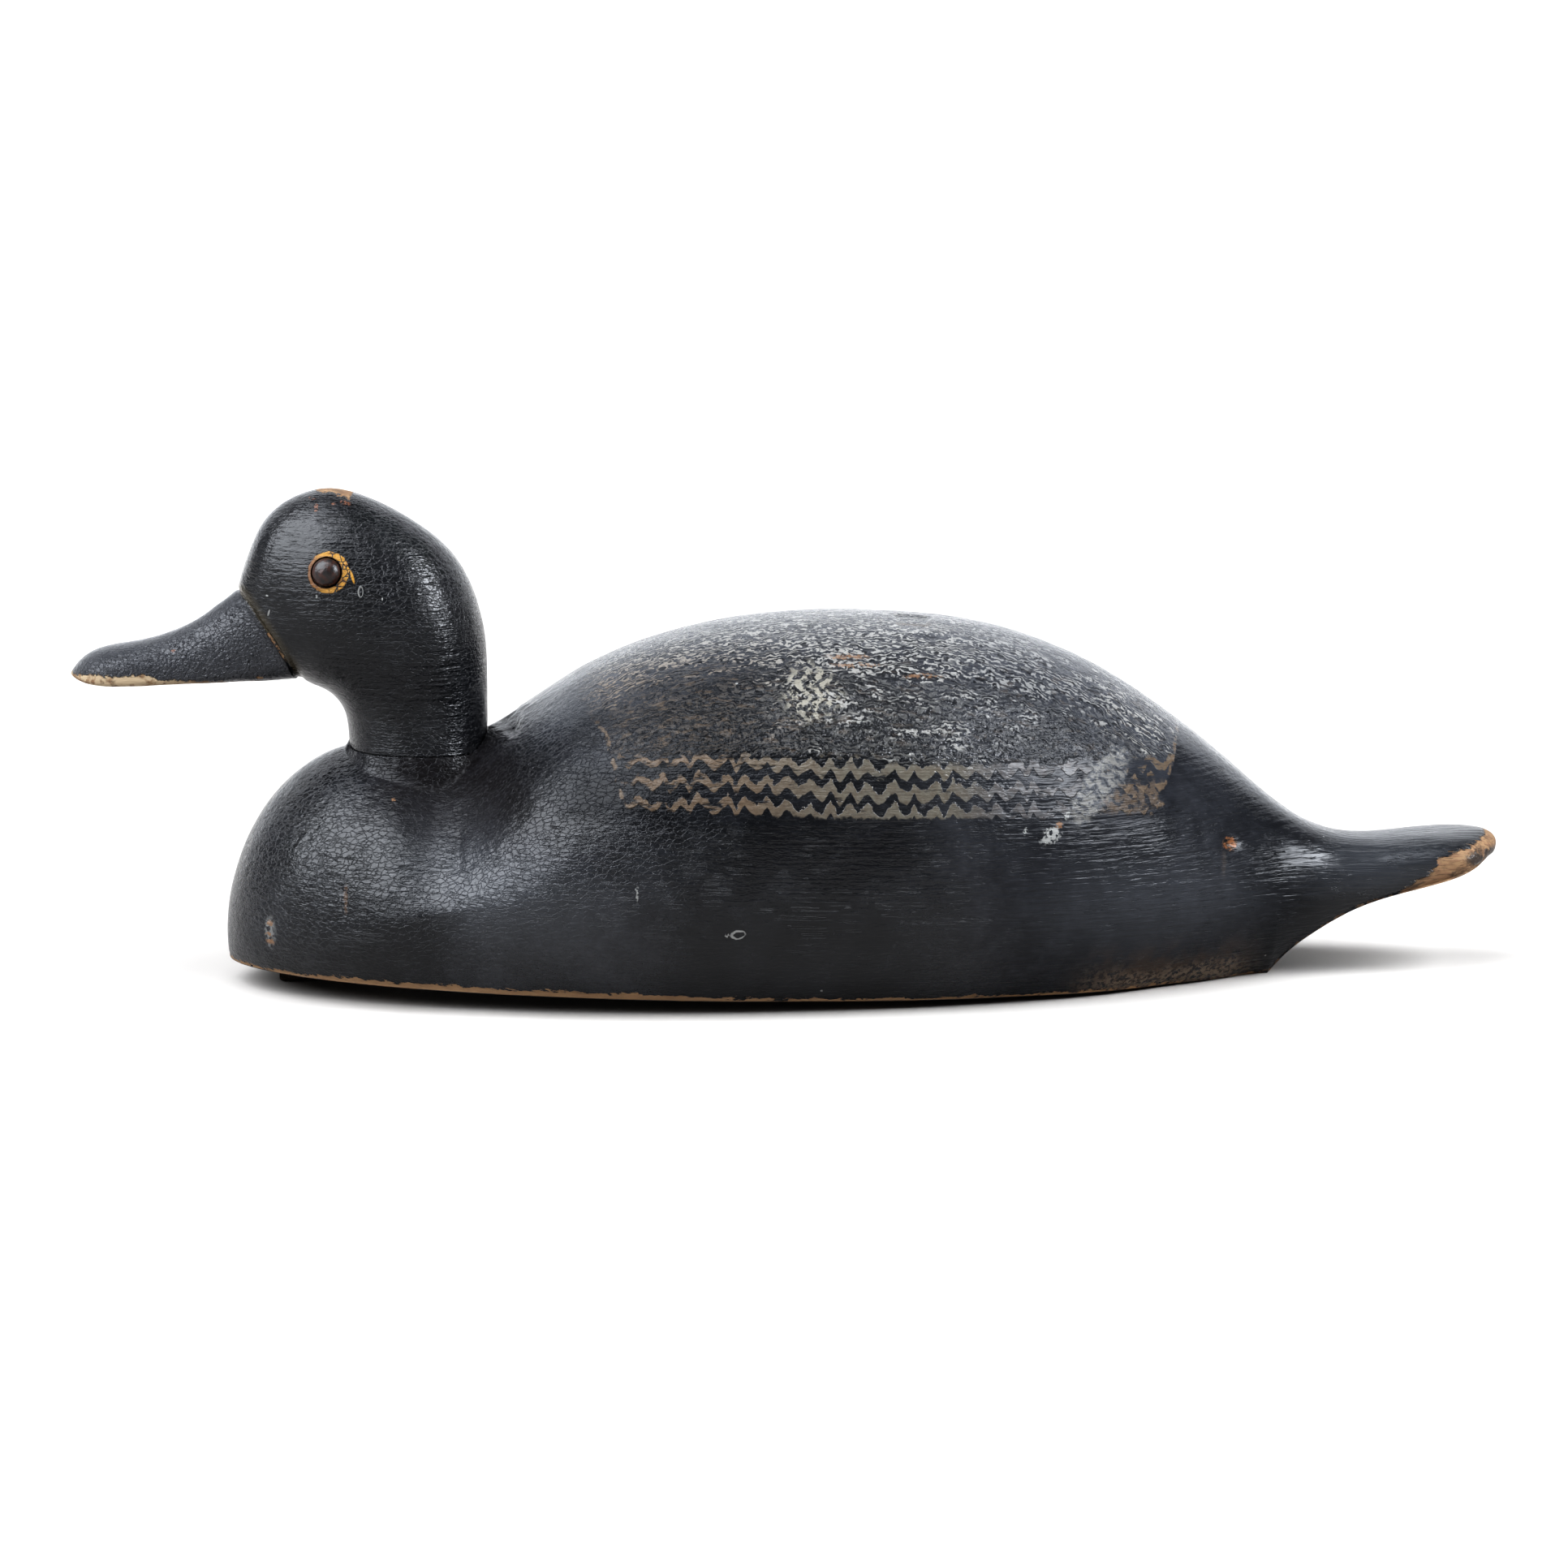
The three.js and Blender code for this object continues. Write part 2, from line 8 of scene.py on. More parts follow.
import logging
import math
from collections.abc import Iterator
from contextlib import contextmanager
from dataclasses import dataclass
from enum import Enum
from functools import cached_property, reduce
from itertools import product

import bmesh
import bpy
import numpy as np
from mathutils import Matrix, Vector


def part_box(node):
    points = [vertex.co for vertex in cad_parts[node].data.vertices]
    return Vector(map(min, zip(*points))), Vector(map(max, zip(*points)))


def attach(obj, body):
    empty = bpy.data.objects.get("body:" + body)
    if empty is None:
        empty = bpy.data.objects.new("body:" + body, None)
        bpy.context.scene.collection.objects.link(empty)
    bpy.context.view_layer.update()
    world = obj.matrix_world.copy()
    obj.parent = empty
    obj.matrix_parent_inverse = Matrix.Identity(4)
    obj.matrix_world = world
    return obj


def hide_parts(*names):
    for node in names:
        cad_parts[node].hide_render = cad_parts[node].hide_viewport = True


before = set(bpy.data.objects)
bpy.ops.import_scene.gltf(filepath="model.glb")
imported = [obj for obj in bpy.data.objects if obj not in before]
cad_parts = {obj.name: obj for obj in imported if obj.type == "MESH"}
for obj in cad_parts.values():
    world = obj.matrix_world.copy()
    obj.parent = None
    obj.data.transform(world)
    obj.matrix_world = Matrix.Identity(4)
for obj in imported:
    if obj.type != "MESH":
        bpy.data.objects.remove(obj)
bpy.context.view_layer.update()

Array = np.ndarray
Object = bpy.types.Object
Mesh = bpy.types.Mesh
Material = bpy.types.Material
Pair = tuple[float, float]
Triple = tuple[float, float, float]
Outline = tuple[Pair, ...]
Waves = tuple[tuple[float, float, int], ...]
QUARTER = math.pi / 2
MM = 0.001
HASH_FACTORS = (73856093, 19349663, 83492791)
SEED_FACTOR = 2654435
SCRAMBLE_FACTOR = 1274126177
log = logging.getLogger("decoy")


class Side(Enum):
    """The duck's own left and right; the value is the sign of y there."""

    LEFT = -1
    RIGHT = 1


class Tone(Enum):
    """The colours of old paint, wood and dirt, and of painted sheen and shade, as linear red, green and blue.
    """

    BLACK = (0.0030, 0.0033, 0.0042)
    WORN_BLACK = (0.0095, 0.0100, 0.0122)
    DULL_BLACK = (0.0210, 0.0222, 0.0262)
    SCUFF_AND_SHEEN = (0.055, 0.059, 0.066)
    BROWN_DIRT = (0.120, 0.090, 0.065)
    OLIVE_STAIN = (0.034, 0.027, 0.015)
    COMB_GREY = (0.080, 0.075, 0.062)
    COMB_BLUE_AND_SHEEN = (0.060, 0.065, 0.077)
    COMB_PALE = (0.158, 0.156, 0.148)
    CRUST_GREY = (0.108, 0.106, 0.101)
    CRUST_SHADE_BLUE = (0.034, 0.037, 0.043)
    COMB_TAN = (0.082, 0.062, 0.045)
    COMB_BROWN = (0.042, 0.032, 0.024)
    BLOTCH_CREAM = (0.150, 0.142, 0.120)
    WOOD = (0.175, 0.113, 0.062)
    BILL_BLACK = (0.024, 0.025, 0.029)
    PALE_WOOD = (0.270, 0.215, 0.145)
    RUBBED_AND_LIT_WOOD = (0.240, 0.155, 0.088)
    OLD_WOOD = (0.125, 0.072, 0.040)
    WOOD_STAIN_AND_SHADE = (0.035, 0.022, 0.014)
    RED_WOOD = (0.105, 0.046, 0.027)
    OCHRE = (0.250, 0.135, 0.022)
    BROWN_OCHRE = (0.110, 0.052, 0.020)
    RING_SHADE = (0.050, 0.022, 0.010)
    TORN_WOOD = (0.150, 0.068, 0.032)
    TACK_BLACK = (0.010, 0.008, 0.008)
    TACK_BROWN = (0.028, 0.011, 0.008)
    LEATHER_BLACK = (0.016, 0.011, 0.008)
    LEATHER_BROWN = (0.045, 0.028, 0.017)
    CHALK = (0.200, 0.202, 0.195)


# Shape functions shared by the body and the head.


class FairLine:
    """A natural cubic spline through stations, so that a carved line stays fair."""

    def __init__(self, stations: list[Pair]) -> None:
        """Solves the spline.

        Args:
            stations: Pairs of place along the line and the size there, in order.
        """
        self.x = np.array([s[0] for s in stations], float)
        self.y = np.array([s[1] for s in stations], float)
        n = len(self.x)
        gap = np.diff(self.x)
        matrix = np.eye(n)
        wanted = np.zeros(n)
        for i in range(1, n - 1):
            matrix[i, i - 1:i + 2] = gap[i - 1], 2 * (gap[i - 1] + gap[i]), gap[i]
            wanted[i] = 6 * ((self.y[i + 1] - self.y[i]) / gap[i] - (self.y[i] - self.y[i - 1]) / gap[i - 1])
        self.bend = np.linalg.solve(matrix, wanted)

    def __call__(self, at: Array | float) -> Array:
        """The line's size at these places.

        Args:
            at: One place or an array of them; outside the stations the end size holds.

        Returns:
            The sizes, as an array of the same shape.
        """
        t = np.clip(np.asarray(at, float), self.x[0], self.x[-1])
        i = np.clip(np.searchsorted(self.x, t, side="right") - 1, 0, len(self.x) - 2)
        width = self.x[i + 1] - self.x[i]
        a = (self.x[i + 1] - t) / width
        b = 1 - a
        curve = (a**3 - a) * self.bend[i] + (b**3 - b) * self.bend[i + 1]
        return a * self.y[i] + b * self.y[i + 1] + curve * width**2 / 6


def lerp(a: Array | float, b: Array | float, t: Array | float) -> Array | float:
    """The value a share t of the way from a to b."""
    return a + (b - a) * t


def ease(value: Array, low: float, high: float) -> Array:
    """Rises smoothly from 0 at low to 1 at high, or falls if high is below low."""
    t = np.clip((value - low) / (high - low), 0, 1)
    return t * t * (3 - 2 * t)


def evenly(path: Array, at: Array, count: int) -> Array:
    """Finds the parameters that split a path into equal lengths.

    Args:
        path: Points along the path, one row each.
        at: The parameter at each of those points.
        count: How many parameters to give, both ends included.

    Returns:
        The parameters, count of them.
    """
    steps = np.linalg.norm(np.diff(path, axis=0), axis=1)
    length = np.concatenate([[0.0], np.cumsum(steps)])
    return np.interp(np.linspace(0, length[-1], count), length, at)


def soft_noise(points: Array, size: float, seed: int) -> Array:
    """Smooth value noise, the same on every run.

    Args:
        points: Points in millimetres, with x, y and z on the last axis.
        size: The size of its lumps in millimetres.
        seed: Picks one pattern out of many.

    Returns:
        A value from -1 to 1 for each point.
    """
    q = points / size + seed * 13.7
    cell = np.floor(q).astype(np.int64)
    part = q - cell
    part = part * part * (3 - 2 * part)
    total = np.zeros(points.shape[:-1])
    for corner in product((0, 1), repeat=3):
        mixed = np.bitwise_xor.reduce((cell + corner) * HASH_FACTORS, axis=-1) ^ (seed * SEED_FACTOR)
        mixed = (mixed ^ (mixed >> 13)) * SCRAMBLE_FACTOR & 0x7FFFFFFF
        value = ((mixed ^ (mixed >> 16)) & 0xFFFF) / 32767.5 - 1
        weight = np.prod(np.where(corner, part, 1 - part), axis=-1)
        total += weight * value
    return total


def waviness(points: Array, waves: Waves) -> Array:
    """The sum of several soft noises, each given as its height, its size and its seed."""
    return sum(height * soft_noise(points, size, seed) for height, size, seed in waves)


def outline_distance(points: Array, outline: Outline) -> Array:
    """Distance from a closed outline, positive inside it.

    Args:
        points: Points with two coordinates on the last axis.
        outline: The outline's corners in order.

    Returns:
        The signed distance at each point.
    """
    corners = np.array(outline, float)
    best = np.full(points.shape[:-1], np.inf)
    inside = np.zeros(points.shape[:-1], bool)
    for a, b in zip(corners, np.roll(corners, -1, axis=0)):
        best = np.minimum(best, segment_distance(points, a, b))
        crosses = (a[1] > points[..., 1]) != (b[1] > points[..., 1])
        rise = (b[1] - a[1]) or 1.0
        at = a[0] + (points[..., 1] - a[1]) * (b[0] - a[0]) / rise
        inside ^= crosses & (points[..., 0] < at)
    return np.where(inside, best, -best)


def segment_distance(points: Array, a: Array, b: Array) -> Array:
    """Distance of points from the straight line between two points.

    Args:
        points: The points, with their coordinates on the last axis.
        a: Where the line starts.
        b: Where it ends.

    Returns:
        The distance of each point.
    """
    along = np.asarray(b, float) - a
    share = np.clip(((points - a) @ along) / max(along @ along, 1e-12), 0, 1)
    return np.linalg.norm(points - a - share[..., None] * along, axis=-1)


@dataclass(frozen=True)
class Dent:
    """A small hollow, nick or crease, from one point to another in side view."""

    start: Pair
    end: Pair
    radius: float
    depth: float
    side: Side = Side.LEFT

    def depth_at(self, points: Array) -> Array:
        """How deep it is.

        Args:
            points: Points of the level frame.

        Returns:
            The depth at each point, in millimetres.
        """
        flat = points[..., [0, 2]]
        reach = segment_distance(flat, np.array(self.start), np.array(self.end)) / self.radius
        return self.depth * np.exp(-reach**2) * (points[..., 1] * self.side.value > 0)


@dataclass(frozen=True)
class Stance:
    """How the level decoy is tipped and shifted to stand on a floor."""

    heel_x: float = 129.0
    tie_x: float = -124.0
    tie_height: float = 6.0
    centring: float = -1.2

    @property
    def nose_up(self) -> float:
        """The tip in radians."""
        return math.atan(self.tie_height / (self.heel_x - self.tie_x))

    def matrix(self) -> Matrix:
        """The way out of the level frame.

        Returns:
            The matrix from the level frame in millimetres to the world in metres.
        """
        to_heel = Matrix.Translation((-self.heel_x, 0, 0))
        back = Matrix.Translation((self.heel_x + self.centring, 0, 0))
        return Matrix.Scale(MM, 4) @ back @ Matrix.Rotation(self.nose_up, 4, "Y") @ to_heel

    def placed(self, points: Array) -> Array:
        """The world places in metres of an array of points of the level frame."""
        m = np.array(self.matrix())
        return points @ m[:3, :3].T + m[:3, 3]

    def level(self, places: Array) -> Array:
        """The level frame's points for an array of world places in metres."""
        m = np.array(self.matrix().inverted())
        return places @ m[:3, :3].T + m[:3, 3]


STANCE = Stance()


@contextmanager
def opened(mesh: Mesh) -> Iterator[bmesh.types.BMesh]:
    """Opens a mesh for editing, and writes it back with its faces outward.

    Args:
        mesh: The mesh.

    Yields:
        What can be edited.
    """
    work = bmesh.new()
    work.from_mesh(mesh)
    yield work
    bmesh.ops.recalc_face_normals(work, faces=work.faces)
    work.to_mesh(mesh)
    work.free()


def grid_mesh(name: str, rings: Array) -> Mesh:
    """Makes a closed mesh from rings of points, closed round each ring.

    Args:
        name: The mesh's name.
        rings: World points in metres, as ring, place in ring, and x, y, z. The first and the last
            ring are folded flat, so that they close the mesh.

    Returns:
        The mesh, welded and with its faces outward.
    """
    count, around = rings.shape[:2]
    first = np.arange(count - 1)[:, None] * around
    here = np.arange(around)[None, :]
    after = (here + 1) % around
    quads = np.stack([first + here, first + after, first + around + after, first + around + here], axis=-1)
    mesh = bpy.data.meshes.new(name)
    mesh.from_pydata(rings.reshape(-1, 3).tolist(), [], quads.reshape(-1, 4).tolist())
    with opened(mesh) as work:
        bmesh.ops.remove_doubles(work, verts=work.verts, dist=1e-6)
    return mesh


def shown(name: str, mesh: Mesh) -> Object:
    """Puts a mesh into the scene.

    Args:
        name: The object's name.
        mesh: The mesh.

    Returns:
        The object.
    """
    made = bpy.data.objects.new(name, mesh)
    bpy.context.scene.collection.objects.link(made)
    return made


def cut_away(piece: Object, cutters: list[Object]) -> None:
    """Cuts closed solids out of a piece and removes them.

    Args:
        piece: The object that is cut; its mesh is replaced.
        cutters: The objects to cut with, which are deleted.
    """
    for cutter in cutters:
        cut = piece.modifiers.new("cut", "BOOLEAN")
        cut.operation = "DIFFERENCE"
        cut.solver = "MANIFOLD"
        cut.object = cutter
    depsgraph = bpy.context.evaluated_depsgraph_get()
    whole = bpy.data.meshes.new_from_object(piece.evaluated_get(depsgraph))
    piece.modifiers.clear()
    piece.data = whole
    for cutter in cutters:
        bpy.data.objects.remove(cutter)


def prism(name: str, outline: Array, low: float, high: float) -> Object:
    """Makes an upright prism in the level frame, placed in the world.

    Args:
        name: The object's name.
        outline: The plan's x and y, in order.
        low: Height of its bottom in millimetres.
        high: Height of its top in millimetres.

    Returns:
        The object, in the scene.
    """
    n = len(outline)
    points = np.concatenate([np.c_[outline, np.full(n, low)], np.c_[outline, np.full(n, high)]])
    ring = list(range(n))
    faces = [ring[::-1], [i + n for i in ring]]
    faces += [[i, (i + 1) % n, (i + 1) % n + n, i + n] for i in ring]
    mesh = bpy.data.meshes.new(name)
    mesh.from_pydata(STANCE.placed(points).tolist(), [], faces)
    with opened(mesh) as work:
        bmesh.ops.triangulate(work, faces=work.faces)
    return shown(name, mesh)


def surface_normals(rings: Array) -> Array:
    """Finds which way a grid of rings faces.

    Args:
        rings: The grid's points, as ring, place in ring, and x, y, z.

    Returns:
        Outward unit normals, without a part across the decoy at the folded first and last ring.
    """
    across = np.roll(rings, -1, axis=1) - np.roll(rings, 1, axis=1)
    along = np.gradient(rings, axis=0)
    normal = np.cross(across, along)
    normal[[0, -1], :, 1] = 0
    normal /= np.maximum(np.linalg.norm(normal, axis=-1, keepdims=True), 1e-9)
    outward = rings - rings.mean(axis=1, keepdims=True)
    if (normal * outward).sum() < 0:
        normal = -normal
    return normal


def vertex_places(mesh: Mesh) -> Array:
    """Reads where a mesh's vertices are.

    Args:
        mesh: The mesh.

    Returns:
        Their world places in metres, one row each.
    """
    flat = np.zeros(len(mesh.vertices) * 3, np.float32)
    mesh.vertices.foreach_get("co", flat)
    return flat.reshape(-1, 3)


def vertex_points(mesh: Mesh) -> Array:
    """A mesh's vertices in the level frame, in millimetres."""
    return STANCE.level(vertex_places(mesh).astype(float))


def keep_in_box(mesh: Mesh, node: str) -> None:
    """Draws a mesh's vertices back inside the box of the node that it stands for.

    Args:
        mesh: The mesh, in the world's frame.
        node: The node's name.
    """
    low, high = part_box(node)
    inside = np.clip(vertex_places(mesh), np.array(low), np.array(high))
    mesh.vertices.foreach_set("co", inside.astype(np.float32).ravel())
    mesh.update()


def set_values(mesh: Mesh, name: str, values: Array) -> None:
    """Stores one number for each vertex, for the finish to read."""
    made = mesh.attributes.new(name, "FLOAT", "POINT")
    made.data.foreach_set("value", values.astype(np.float32))


def dressed(piece: Object, node: str, finish: Material, crisp: float) -> Object:
    """Gives a piece its finish, its body, the node that it stands for and its slot, and reports it.

    Args:
        piece: The piece.
        node: The node's name.
        finish: The piece's material.
        crisp: Edges that turn by more than this many degrees stay crisp.

    Returns:
        The piece.
    """
    piece.data.shade_smooth()
    piece.data.set_sharp_from_angle(angle=math.radians(crisp))
    piece.data.materials.clear()
    piece.data.materials.append(finish)
    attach(piece, "root")
    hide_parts(node)
    log.info("%s stands for %s, %d faces", piece.name, node, len(piece.data.polygons))
    return piece


# Finishes.

Socket = bpy.types.NodeSocket
Source = Socket | float | tuple
Stretch = tuple[float, ...]


@dataclass(frozen=True)
class Mark:
    """An oval mark on the paint, placed in side view in the level frame."""

    x: float
    z: float
    long: float
    high: float
    lean: float = 0.0
    soft: float = 0.25


@dataclass(frozen=True)
class Zone:
    """A part of the decoy, by stretches of its measures, and how strongly something shows there.

    A stretch of two numbers says where it starts and where it is full. One of four also says where
    it begins to fade and where it is gone.
    """

    share: float = 1.0
    x: Stretch = ()
    z: Stretch = ()
    climb: Stretch = ()
    fall: Stretch = ()


class Graph:
    """Builds one material's nodes with short calls; lengths in it are millimetres."""

    def __init__(self, name: str) -> None:
        """Starts a material, with its place on the decoy in the level frame.

        Args:
            name: The material's name.
        """
        self.material = bpy.data.materials.new(name)
        self.material.use_nodes = True
        self.tree = self.material.node_tree
        self.tree.nodes.clear()
        places = self.node("TexCoord").outputs["Object"]
        location, rotation, scale = STANCE.matrix().inverted().decompose()
        inputs = {"Vector": places, "Location": location, "Rotation": rotation.to_euler(), "Scale": scale}
        self.own = self.node("Mapping", inputs, vector_type="POINT").outputs[0]
        self.x, self.y, self.z = self.split(self.own)

    @cached_property
    def left(self) -> Socket:
        """1 on the left side and 0 on the right."""
        return self.mask(self.y, 1.0, -1.0)

    @cached_property
    def ragged(self) -> Socket:
        """The place on the decoy, finely disturbed, so that marks laid on it are ragged."""
        return self.shaken(0.7, 2.2)

    @cached_property
    def quick(self) -> Socket:
        """Quick noise of -0.5..0.5."""
        return self.sway(self.own, 1.3)

    @cached_property
    def climb(self) -> Socket:
        """Height above the saddle's lower edge, along the surface."""
        return self.value("climb")

    def node(
        self, kind: str, inputs: dict[str | int, Source] | None = None, **settings: object
    ) -> bpy.types.Node:
        """Adds a node.

        Args:
            kind: The node's type, without its ShaderNode prefix.
            inputs: What goes into its sockets, by name or number.
            settings: Its own settings.

        Returns:
            The node.
        """
        made = self.tree.nodes.new("ShaderNode" + kind)
        for key, value in settings.items():
            setattr(made, key, value)
        for key, value in (inputs or {}).items():
            if isinstance(value, Socket):
                self.tree.links.new(value, made.inputs[key])
            else:
                made.inputs[key].default_value = value
        return made

    def math(self, operation: str, a: Source, b: Source = 0.0) -> Socket:
        """One sum or other operation on numbers."""
        return self.node("Math", {0: a, 1: b}, operation=operation).outputs[0]

    def vector(self, operation: str, a: Source, b: Source = (0.0, 0.0, 0.0)) -> Socket:
        """One operation on vectors that gives a vector."""
        return self.node("VectorMath", {0: a, 1: b}, operation=operation).outputs[0]

    def length(self, a: Source) -> Socket:
        """A vector's length."""
        return self.node("VectorMath", {0: a}, operation="LENGTH").outputs["Value"]

    def split(self, vector: Source) -> tuple[Socket, ...]:
        """A vector's three parts."""
        return tuple(self.node("SeparateXYZ", {0: vector}).outputs)

    def join(self, x: Source, y: Source, z: Source) -> Socket:
        """A vector from its three parts."""
        return self.node("CombineXYZ", {0: x, 1: y, 2: z}).outputs[0]

    def mask(self, value: Source, low: float, high: float) -> Socket:
        """Rises smoothly from 0 at low to 1 at high, or falls if high is below low."""
        inputs = {"Value": value, "From Min": low, "From Max": high}
        return self.node("MapRange", inputs, interpolation_type="SMOOTHSTEP").outputs[0]

    def within(self, value: Source, stretch: Stretch) -> Socket:
        """Shows where a number lies within a stretch.

        Args:
            value: The number.
            stretch: Where it starts and is full, and also, of four, where it fades and is gone.

        Returns:
            1 within the stretch and 0 outside it.
        """
        if len(stretch) == 2:
            return self.mask(value, *stretch)
        start, full, fading, gone = stretch
        return self.times(self.mask(value, start, full), self.mask(value, gone, fading))

    def span(self, value: Source, low: float, high: float) -> Socket:
        """Brings 0..1 to low..high."""
        return self.node("MapRange", {"Value": value, "To Min": low, "To Max": high}).outputs[0]

    def times(self, *factors: Source) -> Socket:
        """The product of several numbers."""
        return reduce(lambda total, factor: self.math("MULTIPLY", total, factor), factors)

    def plus(self, *parts: Source) -> Socket:
        """The sum of several numbers."""
        return reduce(lambda total, part: self.math("ADD", total, part), parts)

    def most(self, *parts: Source) -> Socket:
        """The largest of several numbers."""
        return reduce(lambda total, part: self.math("MAXIMUM", total, part), parts)

    def inverse(self, share: Source) -> Socket:
        """What a share leaves of 1."""
        return self.math("SUBTRACT", 1.0, share)

    def size(self, value: Source) -> Socket:
        """A number without its sign."""
        return self.math("ABSOLUTE", value)

    def mix(self, share: Source, a: Source | Tone, b: Source | Tone) -> Socket:
        """Blends two colours."""
        colours = {6: rgba(a), 7: rgba(b), 0: share}
        return self.node("Mix", colours, data_type="RGBA").outputs[2]

    def blend(self, share: Source, a: Source, b: Source) -> Socket:
        """Blends two numbers."""
        return self.node("Mix", {2: a, 3: b, 0: share}, data_type="FLOAT").outputs[0]

    def noise(self, at: Source, size: float, detail: float = 2.0, rough: float = 0.5) -> Socket:
        """Soft noise of 0..1 with lumps of about that size."""
        inputs = {"Vector": at, "Scale": 1 / size, "Detail": detail, "Roughness": rough}
        return self.node("TexNoise", inputs).outputs[0]

    def sway(self, at: Source, size: float, detail: float = 2.0, rough: float = 0.5) -> Socket:
        """Soft noise of -0.5..0.5 with lumps of about that size."""
        return self.plus(self.noise(at, size, detail, rough), -0.5)

    def flecks(
        self, size: float, limits: Stretch, detail: float = 2.0, rough: float = 0.5, at: Source | None = None
    ) -> Socket:
        """Flecks where noise passes its limits.

        Args:
            size: About how large the noise's lumps are.
            limits: The noise's values, of 0..1, at which a fleck starts and is full.
            detail: How many finer noises are laid over it.
            rough: How strong those are.
            at: Where to take it, or None for the place on the decoy.

        Returns:
            1 on flecks and 0 between them.
        """
        return self.mask(self.noise(self.own if at is None else at, size, detail, rough), *limits)

    def drawn(self, along: float, across: float = 1.0, at: Source | None = None) -> Socket:
        """The place, with what is laid on it drawn out along the decoy, and across it."""
        return self.vector("MULTIPLY", self.own if at is None else at, (along, across, 1.0))

    def shaken(self, size: float, width: float) -> Socket:
        """The place on the decoy, disturbed.

        Args:
            size: The size of the noise that shifts it.
            width: About how far it is shifted.

        Returns:
            The place.
        """
        inputs = {"Vector": self.own, "Scale": 1 / size, "Detail": 3.0}
        noises = self.node("TexNoise", inputs).outputs["Color"]
        centred = self.vector("SUBTRACT", noises, (0.5, 0.5, 0.5))
        return self.vector("ADD", self.own, self.vector("MULTIPLY", centred, (width, width, width)))

    def slanted(self, turn: float, along: float) -> Socket:
        """The place turned in side view, with what is laid on it drawn out one way."""
        inputs = {"Vector": self.own, "Rotation": (0.0, turn, 0.0), "Scale": (along, 1.0, 1.0)}
        return self.node("Mapping", inputs).outputs[0]

    def cells(self, at: Source, size: float, feature: str = "F1") -> Socket:
        """Distance to the nearest point, or to the nearest edge, of cells of that size."""
        return self.node("TexVoronoi", {"Vector": at, "Scale": 1 / size}, feature=feature).outputs["Distance"]

    def edges(self, at: Source, size: float) -> Socket:
        """Distance to the nearest edge of cells of that size."""
        return self.cells(at, size, "DISTANCE_TO_EDGE")

    def value(self, name: str) -> Socket:
        """A number stored on the mesh."""
        return self.node("Attribute", attribute_name=name).outputs["Fac"]

    def spot(self, at: Source, *marks: Mark) -> Socket:
        """Lays marks on the paint, as seen from the side.

        Args:
            at: Place on the decoy, as it is or disturbed.
            marks: The marks.

        Returns:
            1 inside any of them and 0 outside them.
        """
        far = 1e6
        inside = []
        for mark in marks:
            inputs = {
                "Vector": at,
                "Location": (mark.x, 0.0, mark.z),
                "Rotation": (0.0, -math.radians(mark.lean), 0.0),
                "Scale": (mark.long, far, mark.high),
            }
            reach = self.length(self.node("Mapping", inputs, vector_type="TEXTURE").outputs[0])
            inside.append(self.mask(reach, 1 + mark.soft, 1 - mark.soft))
        return self.most(*inside)

    def ring(self, at: Source, outer: Mark, inner: Mark) -> Socket:
        """1 between two marks, one round the other."""
        return self.most(self.math("SUBTRACT", self.spot(at, outer), self.spot(at, inner)), 0.0)

    def zone(self, zone: Zone) -> Socket:
        """Shows where a zone lies.

        Args:
            zone: The zone.

        Returns:
            Its share within it and 0 outside it.
        """
        parts = [self.within(at, stretch) for at, stretch in ((self.x, zone.x), (self.z, zone.z)) if stretch]
        stored = {"climb": zone.climb, "fall": zone.fall}
        parts += [self.within(self.value(name), stretch) for name, stretch in stored.items() if stretch]
        return self.times(*parts, zone.share)

    def surface(self, colour: Source, rough: Source, height: Source, **more: Source) -> Material:
        """Ends the material in one shader.

        Args:
            colour: Base colour.
            rough: Roughness.
            height: Height of the fine relief, in millimetres.
            more: Other inputs of the shader, underscores for spaces.

        Returns:
            The material.
        """
        bump = self.node("Bump", {"Height": height, "Strength": 1.0, "Distance": MM})
        inputs = {"Base Color": rgba(colour), "Roughness": rough, "Normal": bump.outputs[0]}
        for name, value in more.items():
            inputs[name.replace("_", " ")] = value
        shader = self.node("BsdfPrincipled", inputs)
        self.node("OutputMaterial", {"Surface": shader.outputs[0]})
        return self.material


def rgba(colour: Source | Tone) -> Source:
    """Makes a colour fit for a socket.

    Args:
        colour: A socket, a tone, or a colour of three numbers.

    Returns:
        The socket as it is, or the colour with full alpha.
    """
    if isinstance(colour, Tone):
        colour = colour.value
    if isinstance(colour, tuple) and len(colour) == 3:
        return (*colour, 1.0)
    return colour


